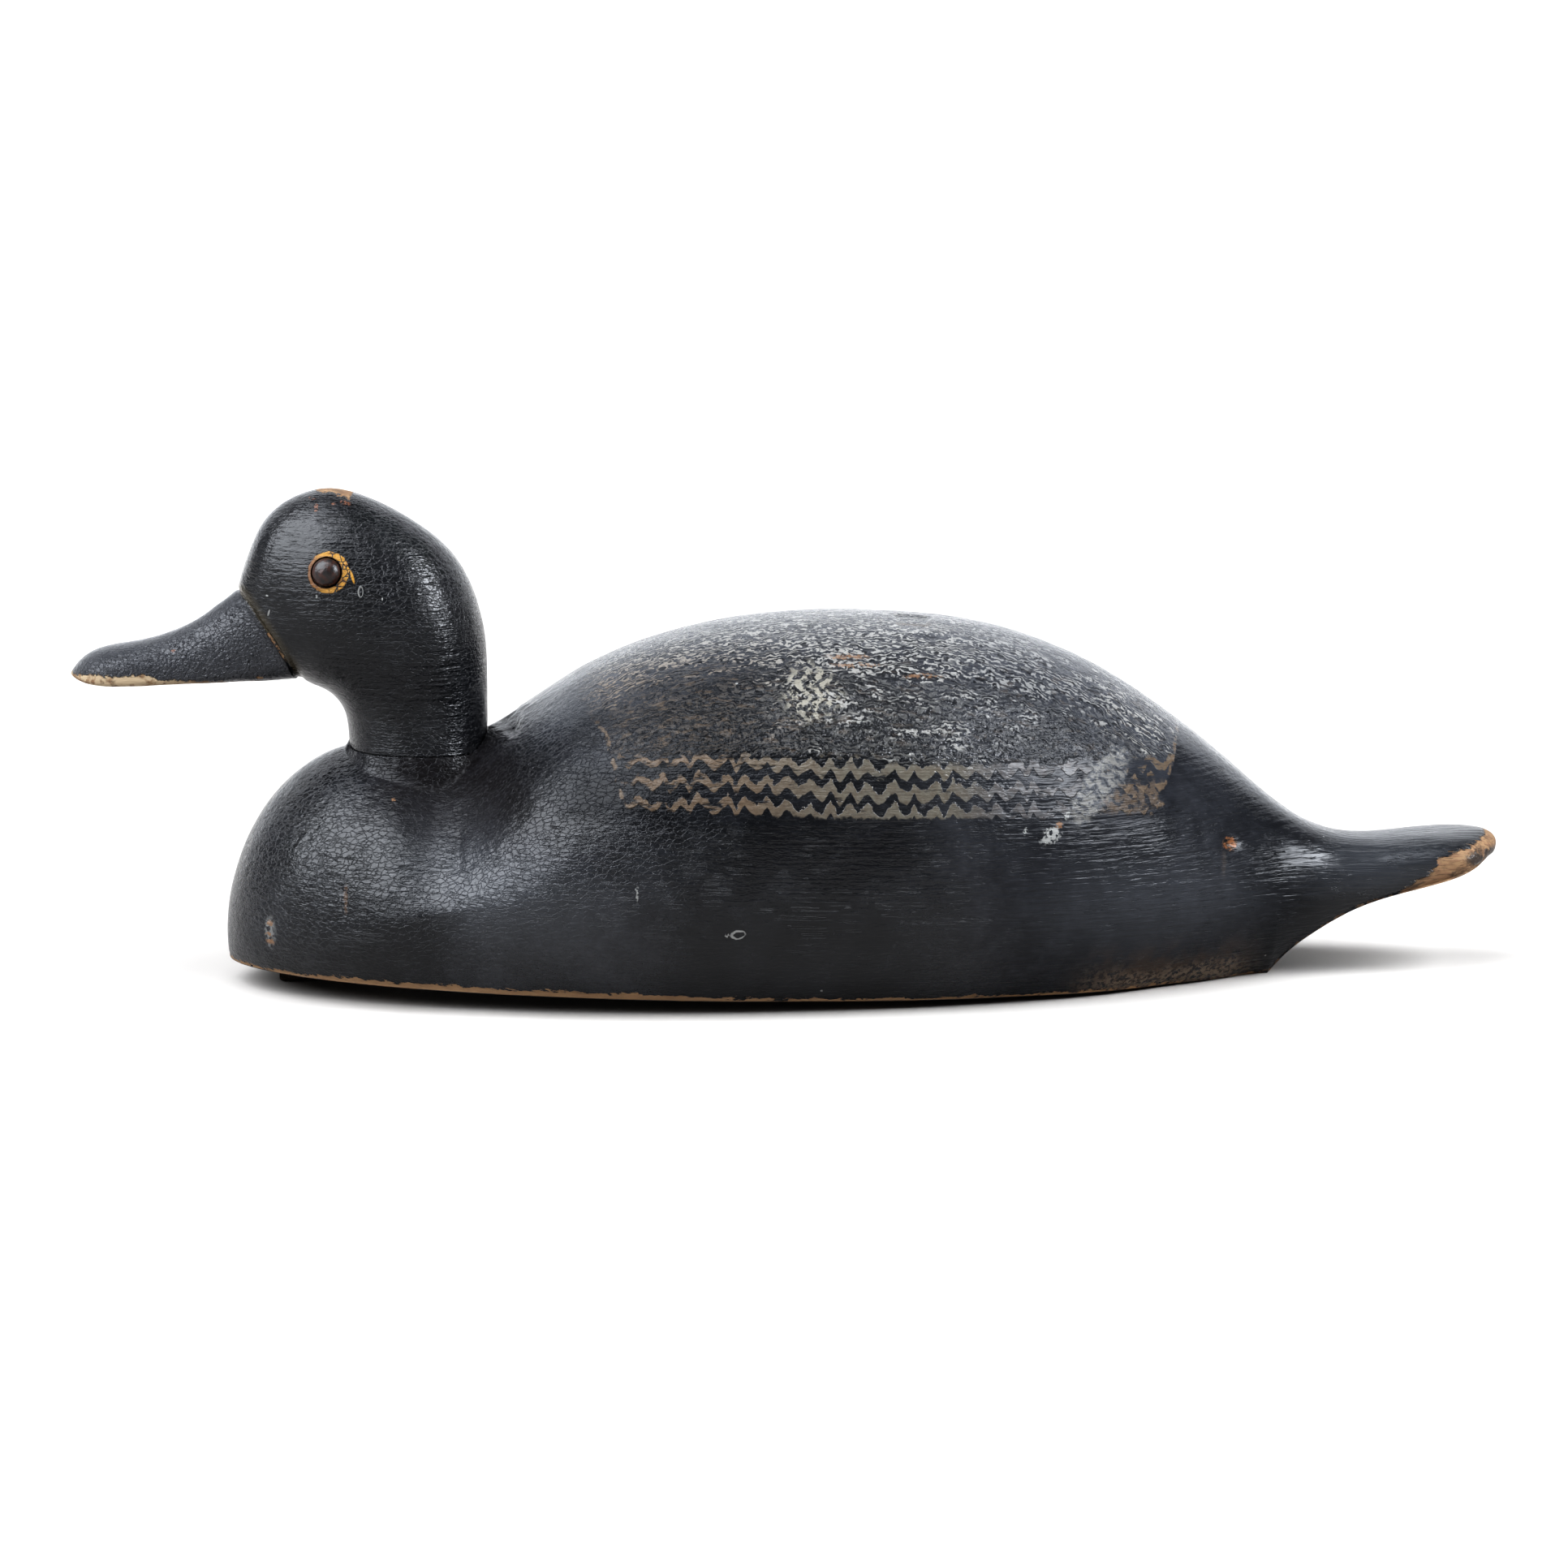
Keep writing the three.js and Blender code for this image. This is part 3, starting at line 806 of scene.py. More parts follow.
@dataclass(frozen=True)
class Coat:
    """The brushed black coat, wherever it lies: streaks along the grain and a fine dried net."""

    stroke: float = 0.85
    net: float = 1.4
    grain: float = 1.0
    lump: float = 1.9
    patch: float = 16.0
    stroke_depth: float = 0.3
    net_depth: float = 0.09
    grain_depth: float = 0.24
    lump_depth: float = 0.2
    crack_depth: float = 0.1
    drawn_out: Pair = (55.0, 0.16)
    shallower: Stretch = (50.0, 85.0)
    tail_top: Stretch = (136.0, 150.0)

    def build(self, g: Graph, netted: Source, grained: Source) -> tuple[Source, Source]:
        """Adds the coat to a finish.

        Args:
            g: The material's graph.
            netted: How much of the dried net shows, 0 to 1.
            grained: How much of the wood's grain shows through, 0 to 1.

        Returns:
            Its lightness from 0 to 1 and its height in millimetres.
        """
        start, share = self.drawn_out
        drawn = g.plus(g.math("MINIMUM", g.x, start), g.times(g.math("MAXIMUM", g.x, start), share))
        stroke = g.noise(g.drawn(0.32, 0.35, g.join(drawn, g.y, g.z)), self.stroke, 2.0, 0.6)
        side = g.noise(g.drawn(0.035, 0.07), self.grain, 3.0, 0.55)
        over = g.noise(g.drawn(0.035), self.grain, 3.0, 0.55)
        grain = g.blend(g.mask(g.x, *self.tail_top), side, over)
        lump = g.noise(g.drawn(0.6), self.lump)
        net = g.mask(g.edges(g.drawn(0.6, at=g.shaken(1.3, 1.5)), self.net), 0.0, 0.09)
        cracks = g.mask(g.size(g.plus(grain, -0.5)), 0.0, 0.02)
        height = g.plus(
            g.times(stroke, g.span(g.mask(g.x, *self.shallower), self.stroke_depth, 0.6 * self.stroke_depth)),
            g.times(lump, netted, self.lump_depth),
            g.times(g.plus(net, -1.0), netted, self.net_depth),
            g.times(grain, grained, self.grain_depth),
            g.times(g.plus(cracks, -1.0), g.flecks(7.0, (0.5, 0.6)), self.crack_depth),
        )
        tone = g.plus(
            g.times(g.flecks(self.patch, (0.35, 0.75), 3.0, 0.6), 0.45),
            g.times(g.mask(stroke, 0.45, 0.75), 0.35),
            g.times(g.mask(net, 0.6, 0.2), netted, 0.25),
        )
        return tone, height


@dataclass(frozen=True)
class Comb:
    """The combed grey saddle: rows of zigzags at its lower edge, curling lines above them.

    Heights in it are measured along the surface, up from the saddle's lower edge.
    """

    zig_period: float = 5.4
    zig_height: float = 3.3
    zig_line: float = 1.4
    row_period: float = 6.0
    rows_end: Stretch = (18.2, 15.8)
    rows_drop: float = 2.3
    line_period: float = 2.0
    tan_front: Stretch = (22.0, -34.0)
    tan_back: Stretch = (74.0, 90.0)
    bluish: Stretch = (36.0, 55.0, 74.0, 88.0)
    solid: Stretch = (-48.0, 4.0, 44.0, 84.0)
    top: Stretch = (52.0, 24.0)
    outline_sides: Stretch = (2.0, 4.5, 22.0, 36.0)
    blotch: Mark = Mark(3.6, 79.6, 7.4, 6.2, -10, 0.3)
    leaf_height: float = 2.7
    leaf_width: float = 1.7
    smear: Mark = Mark(79.5, 56.5, 11.0, 4.4, 50, 0.2)
    brown_corner: Mark = Mark(89.5, 52.3, 9.4, 3.4, 6, 0.3)
    rust: tuple[Mark, ...] = (
        Mark(13.5, 87.4, 5.5, 0.4), Mark(15.5, 85.7, 6.5, 0.35), Mark(33.0, 83.4, 5.0, 0.4),
    )

    def build(self, g: Graph, colour: Source, inside: Source) -> tuple[Source, ...]:
        """Draws the saddle.

        Args:
            g: The material's graph.
            colour: The colour so far.
            inside: 1 within the saddle.

        Returns:
            The new colour, the height of the combed paint from 0 to 1, and where it is the thick
            curling kind.
        """
        middle = g.sway(g.own, 4.0)
        grey, pale = self.greys(g)
        light = self.zigzags(g, middle)
        low = g.plus(g.climb, g.times(middle, 5.0), g.times(g.mask(g.x, 0.0, 40.0), 2.5))
        low = g.mask(low, *self.rows_end)
        high = g.inverse(low)
        crest, upper, top = self.curls(g)

        # Painted sheen: a bluish-grey veil over the saddle toward the top of the back.
        colour = g.mix(g.times(top, inside, 0.3), colour, Tone.COMB_BLUE_AND_SHEEN)
        flecks = g.flecks(1.9, (0.57, 0.64), 3.0, 0.6, g.drawn(0.4))
        fronter = g.span(g.mask(g.x, 30.0, -20.0), 0.35, 0.8)
        brown = g.times(flecks, high, g.mask(g.climb, 62.0, 40.0), fronter, inside)
        colour = g.mix(brown, colour, Tone.COMB_BROWN)
        colour = g.mix(g.times(light, low, inside), colour, grey)
        colour = g.mix(g.times(upper, high, inside), colour, pale)
        troughs = g.times(g.mask(crest, 0.3, 0.1), g.flecks(2.4, (0.45, 0.6)), high)
        colour = g.mix(g.times(troughs, inside, 0.8), colour, Tone.BLACK)
        colour = self.outline(g, self.patches(g, colour, inside))

        crust = g.times(g.plus(g.quick, 0.5), high, g.span(g.mask(g.climb, 60.0, 35.0), 0.5, 1.3))
        height = g.most(g.times(light, low, 0.3), g.times(crest, high), crust)
        return colour, height, high

    def greys(self, g: Graph) -> tuple[Source, Source]:
        """Mixes the greys, which are tan at both ends of the saddle.

        Args:
            g: The material's graph.

        Returns:
            The colours of the zigzags' ground and of the curling lines.
        """
        slow = g.sway(g.own, 12.0)
        front = g.mask(g.plus(g.x, g.times(slow, 40.0)), *self.tan_front)
        back = g.mask(g.plus(g.x, g.times(slow, 20.0)), *self.tan_back)
        blue = g.within(g.x, self.bluish)
        mottled = g.span(g.noise(g.own, 1.7, 3.0, 0.65), 0.2, 1.35)
        grey = g.mix(g.most(front, g.times(back, 0.8)), Tone.COMB_GREY, Tone.COMB_TAN)
        grey = g.mix(g.times(blue, 0.65), grey, Tone.COMB_BLUE_AND_SHEEN)
        grey = g.mix(mottled, Tone.WOOD_STAIN_AND_SHADE, grey)
        pale = g.mix(g.times(blue, 0.3), Tone.COMB_PALE, Tone.COMB_BLUE_AND_SHEEN)
        pale = g.mix(g.times(front, g.mask(g.climb, 75.0, 40.0), 0.8), pale, Tone.COMB_TAN)
        return grey, pale

    def zigzags(self, g: Graph, middle: Source) -> Socket:
        """Draws the rows of dark zigzags combed through the pale ground.

        Args:
            g: The material's graph.
            middle: Noise of -0.5 to 0.5, slower than the quick one.

        Returns:
            Where the pale ground shows between the dark lines.
        """
        half = self.zig_period / 2
        along = g.join(g.x, 0.0, 0.0)
        wander = g.plus(g.times(g.noise(along, 11.0), 8.0), g.times(g.noise(g.join(g.x, 9.0, 0.0), 3.6), 2.4))
        side = g.math("PINGPONG", g.plus(g.x, wander, 200.0), half)
        tooth = g.plus(g.times(g.mask(side, 0.0, half), 0.55), g.times(side, 0.45 / half), -0.5)
        swing = g.span(g.mask(g.noise(along, 7.0), 0.35, 0.65), 0.6, 1.15)
        drop = g.times(g.mask(g.x, -15.0, 18.0), self.rows_drop)
        line = g.plus(g.climb, drop, g.times(tooth, swing, -self.zig_height), g.quick, middle)
        off = g.math("PINGPONG", g.plus(line, 2 * self.row_period), self.row_period / 2)
        thicker = g.times(g.mask(g.x, 16.0, -44.0), 0.5)
        thick = g.plus(self.zig_line, thicker, g.times(middle, 2.4), g.times(g.quick, 1.7))
        light = g.mask(g.math("SUBTRACT", off, thick), -0.2, 0.2)
        spotty = g.noise(g.join(g.times(g.x, 0.35), g.climb, 0.0), 3.0, 3.0, 0.65)
        kept = g.plus(spotty, g.times(g.within(g.x, self.solid), 0.14))
        return g.times(light, g.mask(kept, 0.45, 0.57))

    def curls(self, g: Graph) -> tuple[Source, Source, Source]:
        """Draws the curling lines, which run along the back.

        Args:
            g: The material's graph.

        Returns:
            The lines' height from 0 to 1, where they are pale, and how near the top of the back it is.
        """
        fall = g.value("fall")
        flat = g.drawn(0.5)
        sweep = g.sway(flat, 9.0)
        curl = g.sway(g.own, 2.4)
        warp = g.plus(g.times(sweep, 15.0), g.times(curl, 6.2), g.times(g.quick, 1.2), 60.0)
        half = self.line_period / 2
        crest = g.mask(g.math("PINGPONG", g.plus(fall, warp), half), 0.1, half - 0.1)
        top = g.mask(g.plus(fall, g.times(sweep, 20.0)), *self.top)
        worn_front = g.times(g.mask(g.x, 4.0, -36.0), g.span(top, 0.2, 0.05))
        worn = g.most(worn_front, g.times(g.mask(g.x, 56.0, 76.0), 0.15))
        # Toward the top of the back the pale lines spread wider, as pale paint and painted sheen together.
        ground = g.plus(g.noise(flat, 4.5, 3.0, 0.65), g.times(top, 0.2), g.times(worn, -1.0))
        seen = g.span(g.mask(ground, 0.51, 0.60), 0.22, 1.0)
        dab = g.flecks(1.3, (0.36, 0.50), at=g.drawn(0.7))
        return crest, g.times(g.mask(crest, 0.45, 0.62), seen, dab), top

    def patches(self, g: Graph, colour: Source, inside: Source) -> Socket:
        """Adds the curled blotch, the pale smear, the brown corner and the rust.

        Args:
            g: The material's graph.
            colour: The colour so far.
            inside: 1 within the saddle.

        Returns:
            The new colour.
        """
        torn = g.shaken(3.5, 6.0)
        bulge = g.mask(g.math("PINGPONG", g.plus(g.z, -0.4), self.leaf_height), 0.0, self.leaf_height)
        bend = g.plus(g.x, g.times(bulge, -2.6), g.times(g.quick, 2.6), 100.0)
        leaf = g.mask(g.math("PINGPONG", bend, self.leaf_width), 0.5, 0.85)
        blotch = g.times(g.spot(torn, self.blotch), leaf, g.flecks(2.0, (0.45, 0.52), 4.0, 0.7))
        colour = g.mix(g.times(blotch, inside), colour, Tone.BLOTCH_CREAM)
        # The smear's crust: grey paint, with painted shade in its hollows.
        lines = g.noise(g.drawn(0.6), 1.4, 3.0, 0.6)
        crust = g.mix(g.mask(lines, 0.40, 0.60), Tone.CRUST_SHADE_BLUE, Tone.CRUST_GREY)
        colour = g.mix(g.times(g.spot(torn, self.smear), g.mask(lines, 0.30, 0.44)), colour, crust)
        brown = g.times(g.spot(g.ragged, self.brown_corner), g.flecks(2.0, (0.44, 0.54), 3.0))
        colour = g.mix(g.times(brown, inside, 0.6), colour, Tone.COMB_TAN)
        rust = g.times(g.spot(g.ragged, *self.rust), g.flecks(1.6, (0.40, 0.52), 3.0))
        return g.mix(g.times(rust, inside, 0.7), colour, Tone.OLD_WOOD)

    def outline(self, g: Graph, colour: Source) -> Socket:
        """Adds the worn tan line round the saddle.

        Args:
            g: The material's graph.
            colour: The colour so far.

        Returns:
            The new colour.
        """
        edge = g.mask(g.size(g.plus(g.value("saddle"), -0.4, g.times(g.quick, 1.6))), 0.7, 0.2)
        edge = g.times(edge, g.flecks(3.0, (0.42, 0.52)), g.within(g.climb, self.outline_sides))
        return g.mix(g.times(edge, 0.8), colour, Tone.COMB_TAN)


@dataclass(frozen=True)
class BodyPaint:
    """Worn satin black over wood, with the combed grey saddle on the back."""

    specular: float = 0.34
    rough: Pair = (0.17, 0.28)
    saddle_rough: float = 0.27
    wood_rough: float = 0.7
    coat: Coat = Coat()
    comb: Comb = Comb()
    comb_depth: float = 0.36
    wood_depth: float = 0.25
    greyer: tuple[Zone, ...] = (
        Zone(1.7, x=(-98.0, -80.0, -44.0, -22.0), z=(50.0, 30.0)),
        Zone(1.0, x=(-76.0, -62.0, -50.0, -30.0), z=(56.0, 66.0)),
        Zone(1.4, x=(22.0, 46.0, 112.0, 140.0)),
    )
    matt: tuple[Zone, ...] = (
        Zone(0.56, x=(36.0, 64.0, 128.0, 148.0), fall=(12.0, 24.0)),
        Zone(0.55, x=(-72.0, -54.0, -20.0, 14.0), z=(44.0, 52.0), climb=(78.0, 52.0)),
        Zone(0.25, x=(138.0, 152.0), z=(33.0, 35.5)),
        Zone(0.8, x=(62.0, 76.0, 98.0, 108.0), z=(43.0, 48.0, 58.0, 66.0)),
    )
    # Lighter grey patches: painted sheen low on the chest, low on the rear flank and at the tail's root, and
    # dust on the shoulder.
    painted_sheen_and_dust: tuple[Mark, ...] = (
        Mark(-74.0, 27.0, 26.0, 13.0, -25, 0.8), Mark(-59.0, 74.0, 13.0, 5.0, 35, 0.8),
        Mark(90.0, 24.0, 28.0, 11.0, 0, 0.8), Mark(158.0, 31.5, 19.0, 7.0, 8, 0.8),
    )
    # Painted shade under the neck, where the neck shades the breast.
    painted_shade_under_neck: Mark = Mark(-89.0, 51.0, 21.0, 13.0, 0, 0.5)
    heel_dirt: Stretch = (68.0, 88.0, 114.0, 130.0)
    slot: Triple = (31.7, -11.5, 87.0)
    pale_ring: tuple[Mark, Mark] = (
        Mark(-14.9, 19.7, 2.0, 1.25, 10, 0.1), Mark(-14.6, 19.7, 1.5, 0.8, 10, 0.1),
    )
    pale_strokes: tuple[Mark, ...] = (
        Mark(-17.3, 19.5, 0.9, 0.3, 10), Mark(-40.9, 30.2, 0.3, 2.0), Mark(59.0, 46.0, 0.4, 1.0),
        Mark(70.2, 49.3, 0.5, 1.3, -20),
    )
    pale_crust: Mark = Mark(65.9, 44.6, 2.9, 1.8, 25)
    pale_halo: Mark = Mark(-136.6, 11.6, 1.4, 4.0, 0, 0.4)
    knocks: tuple[Mark, ...] = (
        Mark(-136.6, 14.0, 0.8, 0.55), Mark(-137.0, 11.1, 0.9, 0.45), Mark(-136.5, 9.2, 1.3, 0.6),
        Mark(68.2, 47.2, 1.0, 0.75), Mark(-104.5, 47.4, 0.6, 0.3),
    )
    scratch: Mark = Mark(-116.2, 23.5, 0.4, 3.4)
    chest: Stretch = (-134.0, -112.0, -40.0, -5.0)
    tail_paint: Mark = Mark(186.0, 32.9, 5.5, 2.1, 6, 0.3)
    hole: tuple[Mark, Mark] = (Mark(115.8, 38.1, 2.1, 1.55, -20, 0.15), Mark(114.6, 38.9, 0.5, 0.45))
    hole_run: Mark = Mark(113.9, 33.6, 0.6, 3.2, 0, 0.6)

    def build(self) -> Material:
        """Makes the finish.

        Returns:
            The material.
        """
        g = Graph("body_paint")
        netted = g.mask(g.plus(g.x, g.times(g.noise(g.own, 20.0), 40.0)), 30.0, -50.0)
        tone, height = self.coat.build(g, netted, g.span(g.mask(g.x, -80.0, 60.0), 0.35, 1.5))
        patchy = g.noise(g.own, 9.0, 4.0, 0.65)
        # Lighter grey paint: dust on the upper shoulder; low on the chest and along the rear flank, dust and
        # painted sheen together.
        greyer = g.plus(*[g.zone(zone) for zone in self.greyer])
        tone = g.plus(tone, g.times(greyer, 0.4), g.times(greyer, g.mask(patchy, 0.4, 0.7), 0.35))
        colour = g.mix(g.times(tone, 0.6), Tone.BLACK, Tone.DULL_BLACK)
        # Painted sheen and dust: these patches are mixed toward a lighter grey.
        colour = g.mix(g.times(g.spot(g.ragged, *self.painted_sheen_and_dust), 0.3), colour, Tone.SCUFF_AND_SHEEN)
        colour = self.scuffs(g, colour, patchy)
        # Painted shade: under the neck the paint is darkened a little and its gloss dulled.
        painted_shade_under_neck = g.spot(g.ragged, self.painted_shade_under_neck)
        colour = g.mix(g.times(painted_shade_under_neck, 0.08), colour, Tone.WOOD_STAIN_AND_SHADE)
        matt = g.most(g.times(painted_shade_under_neck, 0.6), *[g.zone(zone) for zone in self.matt])

        inside = self.inside_saddle(g)
        colour, comb, curled = self.comb.build(g, colour, inside)
        height = g.plus(height, g.times(comb, inside, self.comb_depth))
        rough = g.span(g.noise(g.own, 16.0, 3.0, 0.6), *self.rough)
        rough = g.blend(g.times(inside, curled), rough, self.saddle_rough)
        colour = self.old_slot(g, colour)

        wood, wood_height = bare_wood(g)
        # Lighter wood along the bottom edge: partly less stained wood, partly painted light where the edge
        # faces the floor.
        wood = g.mix(g.times(g.mask(g.z, 3.2, 2.2), 0.65), wood, Tone.RUBBED_AND_LIT_WOOD)
        bare = self.bare(g)
        colour = g.mix(bare, colour, wood)
        height = g.blend(bare, height, g.plus(wood_height, -self.wood_depth))
        rough = g.blend(bare, rough, self.wood_rough)
        under, under_rough, under_height = worn_bottom(g)
        below = g.mask(g.z, 0.3, 0.1)
        colour = g.mix(below, colour, under)
        height = g.blend(below, height, under_height)
        rough = g.blend(below, rough, under_rough)
        colour = self.pale_marks(g, self.nail_hole(g, colour))
        gloss = g.times(g.inverse(matt), self.specular)
        return g.surface(colour, rough, height, Specular_IOR_Level=gloss)

    def inside_saddle(self, g: Graph) -> Socket:
        """Shows where the saddle is, crisp and frayed at its sides and fading out over the back.

        Args:
            g: The material's graph.

        Returns:
            1 within the saddle.
        """
        edge = g.value("saddle")
        sharp = g.mask(g.plus(edge, g.times(g.sway(g.own, 1.6), 2.0)), -0.3, 0.5)
        faded = g.mask(g.plus(edge, g.times(g.sway(g.own, 6.0, 3.0), 14.0)), -1.0, 9.0)
        return g.blend(g.mask(g.z, 62.0, 72.0), sharp, faded)

    def old_slot(self, g: Graph, colour: Source) -> Socket:
        """Adds the short brown groove near the top of the back.

        Args:
            g: The material's graph.
            colour: The colour so far.

        Returns:
            The new colour.
        """
        x, y, z = self.slot
        long = g.mask(g.size(g.plus(g.x, -x)), 4.9, 4.5)
        wide = g.mask(g.size(g.plus(g.y, -y)), 1.1, 0.8)
        return g.mix(g.times(long, wide, g.mask(g.z, z - 1, z + 1), g.left, 0.8), colour, Tone.COMB_BROWN)

    def scuffs(self, g: Graph, colour: Source, patchy: Source) -> Socket:
        """Adds the dirt above the heel and faint grey scuffs over the sides.

        Args:
            g: The material's graph.
            colour: The colour so far.
            patchy: Blotchy noise.

        Returns:
            The new colour.
        """
        rise = g.value("rise")
        near_heel = g.within(g.x, self.heel_dirt)
        low = g.mask(g.plus(rise, g.times(patchy, 14.0)), 16.0, 9.0)
        dirt = g.times(low, near_heel, g.flecks(1.5, (0.42, 0.55), 4.0, 0.7))
        film = g.times(g.mask(rise, 17.0, 5.0), near_heel, g.mask(patchy, 0.38, 0.6), 0.7)
        colour = g.mix(film, colour, Tone.WOOD_STAIN_AND_SHADE)
        colour = g.mix(g.times(dirt, 0.85), colour, Tone.BROWN_DIRT)
        scratched = g.flecks(0.8, (0.60, 0.70), 3.0, 0.6, g.slanted(0.9, 0.12))
        return g.mix(g.times(scratched, g.mask(patchy, 0.55, 0.68), 0.25), colour, Tone.SCUFF_AND_SHEEN)

    def pale_marks(self, g: Graph, colour: Source) -> Socket:
        """Adds the pale ring, strokes and knocks on the left side, and specks everywhere.

        Args:
            g: The material's graph.
            colour: The colour so far.

        Returns:
            The new colour.
        """
        pale = g.most(
            g.ring(g.shaken(1.1, 0.9), *self.pale_ring),
            g.times(g.spot(g.ragged, *self.pale_strokes), g.flecks(0.9, (0.35, 0.55))),
            g.times(g.spot(g.ragged, self.pale_crust), g.flecks(1.3, (0.42, 0.52), 3.0)),
            g.times(g.spot(g.ragged, self.pale_halo), g.flecks(1.4, (0.38, 0.56), 3.0), 0.55),
        )
        colour = g.mix(g.times(g.left, pale, 0.85), colour, Tone.CHALK)
        worn = g.most(g.spot(g.ragged, *self.knocks), g.times(g.spot(g.ragged, self.scratch), 0.35))
        colour = g.mix(g.times(g.left, worn, 0.85), colour, Tone.OLD_WOOD)
        specks = g.mask(g.cells(g.own, 19.0), 0.024, 0.016)
        return g.mix(g.times(specks, 0.7), colour, Tone.CHALK)

    def bare(self, g: Graph) -> Socket:
        """Where the paint is gone: along the bottom's edge and at the end of the tail.

        Args:
            g: The material's graph.

        Returns:
            1 on bare wood.
        """
        rise = g.value("rise")
        nibble = g.sway(g.drawn(0.35), 1.6, 3.0, 0.7)
        wide = g.plus(0.35, g.times(g.mask(g.x, 110.0, 20.0), 0.4), g.within(g.x, self.chest))
        edge = g.mask(g.plus(rise, g.times(nibble, -5.0), g.times(wide, -1.0)), 0.25, -0.1)
        edge = g.times(edge, g.most(g.mask(g.x, 134.0, 129.0), g.times(g.mask(rise, 0.05, 0.2), 0.8)))
        tail = g.mask(g.plus(g.value("tail_end"), g.times(nibble, 4.0)), -0.2, 0.4)
        rim = g.plus(g.size(g.y), g.times(g.most(g.plus(g.x, -172.0), 0.0), 1.1), g.times(nibble, 14.0))
        tail = g.times(tail, g.most(g.mask(rim, 11.0, 13.0), g.mask(rise, 0.8, 1.8)))
        held = g.times(g.spot(g.ragged, self.tail_paint), g.flecks(3.0, (0.32, 0.46), 3.0))
        return g.most(edge, g.times(tail, g.inverse(g.times(held, 0.85))))

    def nail_hole(self, g: Graph, colour: Source) -> Socket:
        """Adds the splintered hole that a nail left above the heel, its middle painted black as shade, and
        the faint rust run below it.

        Args:
            g: The material's graph.
            colour: The colour so far.

        Returns:
            The new colour.
        """
        around, middle = self.hole
        splinter = g.flecks(0.9, (0.42, 0.58), at=g.slanted(-0.8, 0.4))
        torn = g.mix(splinter, Tone.WOOD_STAIN_AND_SHADE, Tone.TORN_WOOD)
        colour = g.mix(g.times(g.spot(g.ragged, self.hole_run), g.left, 0.12), colour, Tone.BROWN_DIRT)
        colour = g.mix(g.times(g.spot(g.ragged, around), g.left), colour, torn)
        # Painted shade: the hole's middle is painted black.
        return g.mix(g.times(g.spot(g.own, middle), g.left), colour, Tone.BLACK)


def bare_wood(g: Graph) -> tuple[Source, Source]:
    """Old wood with its grain along the decoy.

    Args:
        g: The material's graph.

    Returns:
        The colour, and the grain's height.
    """
    grain = g.noise(g.drawn(0.1), 0.7, 3.0, 0.6)
    streaks = g.flecks(0.55, (0.54, 0.64), 3.0, 0.6, g.drawn(0.16))
    blotches = g.flecks(5.0, (0.50, 0.70), 4.0, 0.6)
    colour = g.mix(g.mask(grain, 0.38, 0.62), Tone.WOOD, Tone.OLD_WOOD)
    dark = g.math("MINIMUM", g.plus(g.times(blotches, 0.6), g.times(streaks, 0.55)), 0.9)
    return g.mix(dark, colour, Tone.WOOD_STAIN_AND_SHADE), g.times(grain, 0.2)


def worn_bottom(g: Graph) -> tuple[Source, Source, Source]:
    """The underside: black paint worn through to brown wood in long streaks and scratches.

    Args:
        g: The material's graph.

    Returns:
        The colour, the roughness, and the height of the fine relief.
    """
    grain = g.noise(g.drawn(0.05), 1.2, 4.0, 0.6)
    worn = g.noise(g.drawn(0.3), 13.0, 6.0, 0.72)
    painted = g.mask(g.plus(worn, g.times(g.plus(grain, -0.5), 0.5)), 0.56, 0.50)
    colour = g.mix(g.mask(grain, 0.35, 0.7), Tone.OLD_WOOD, Tone.WOOD_STAIN_AND_SHADE)
    paint = g.mix(g.flecks(5.0, (0.35, 0.7), 4.0, 0.7), Tone.BLACK, Tone.DULL_BLACK)
    colour = g.mix(g.times(painted, 0.93), colour, paint)
    return colour, g.blend(painted, 0.8, 0.5), g.plus(g.times(grain, 0.25), g.times(painted, 0.1))


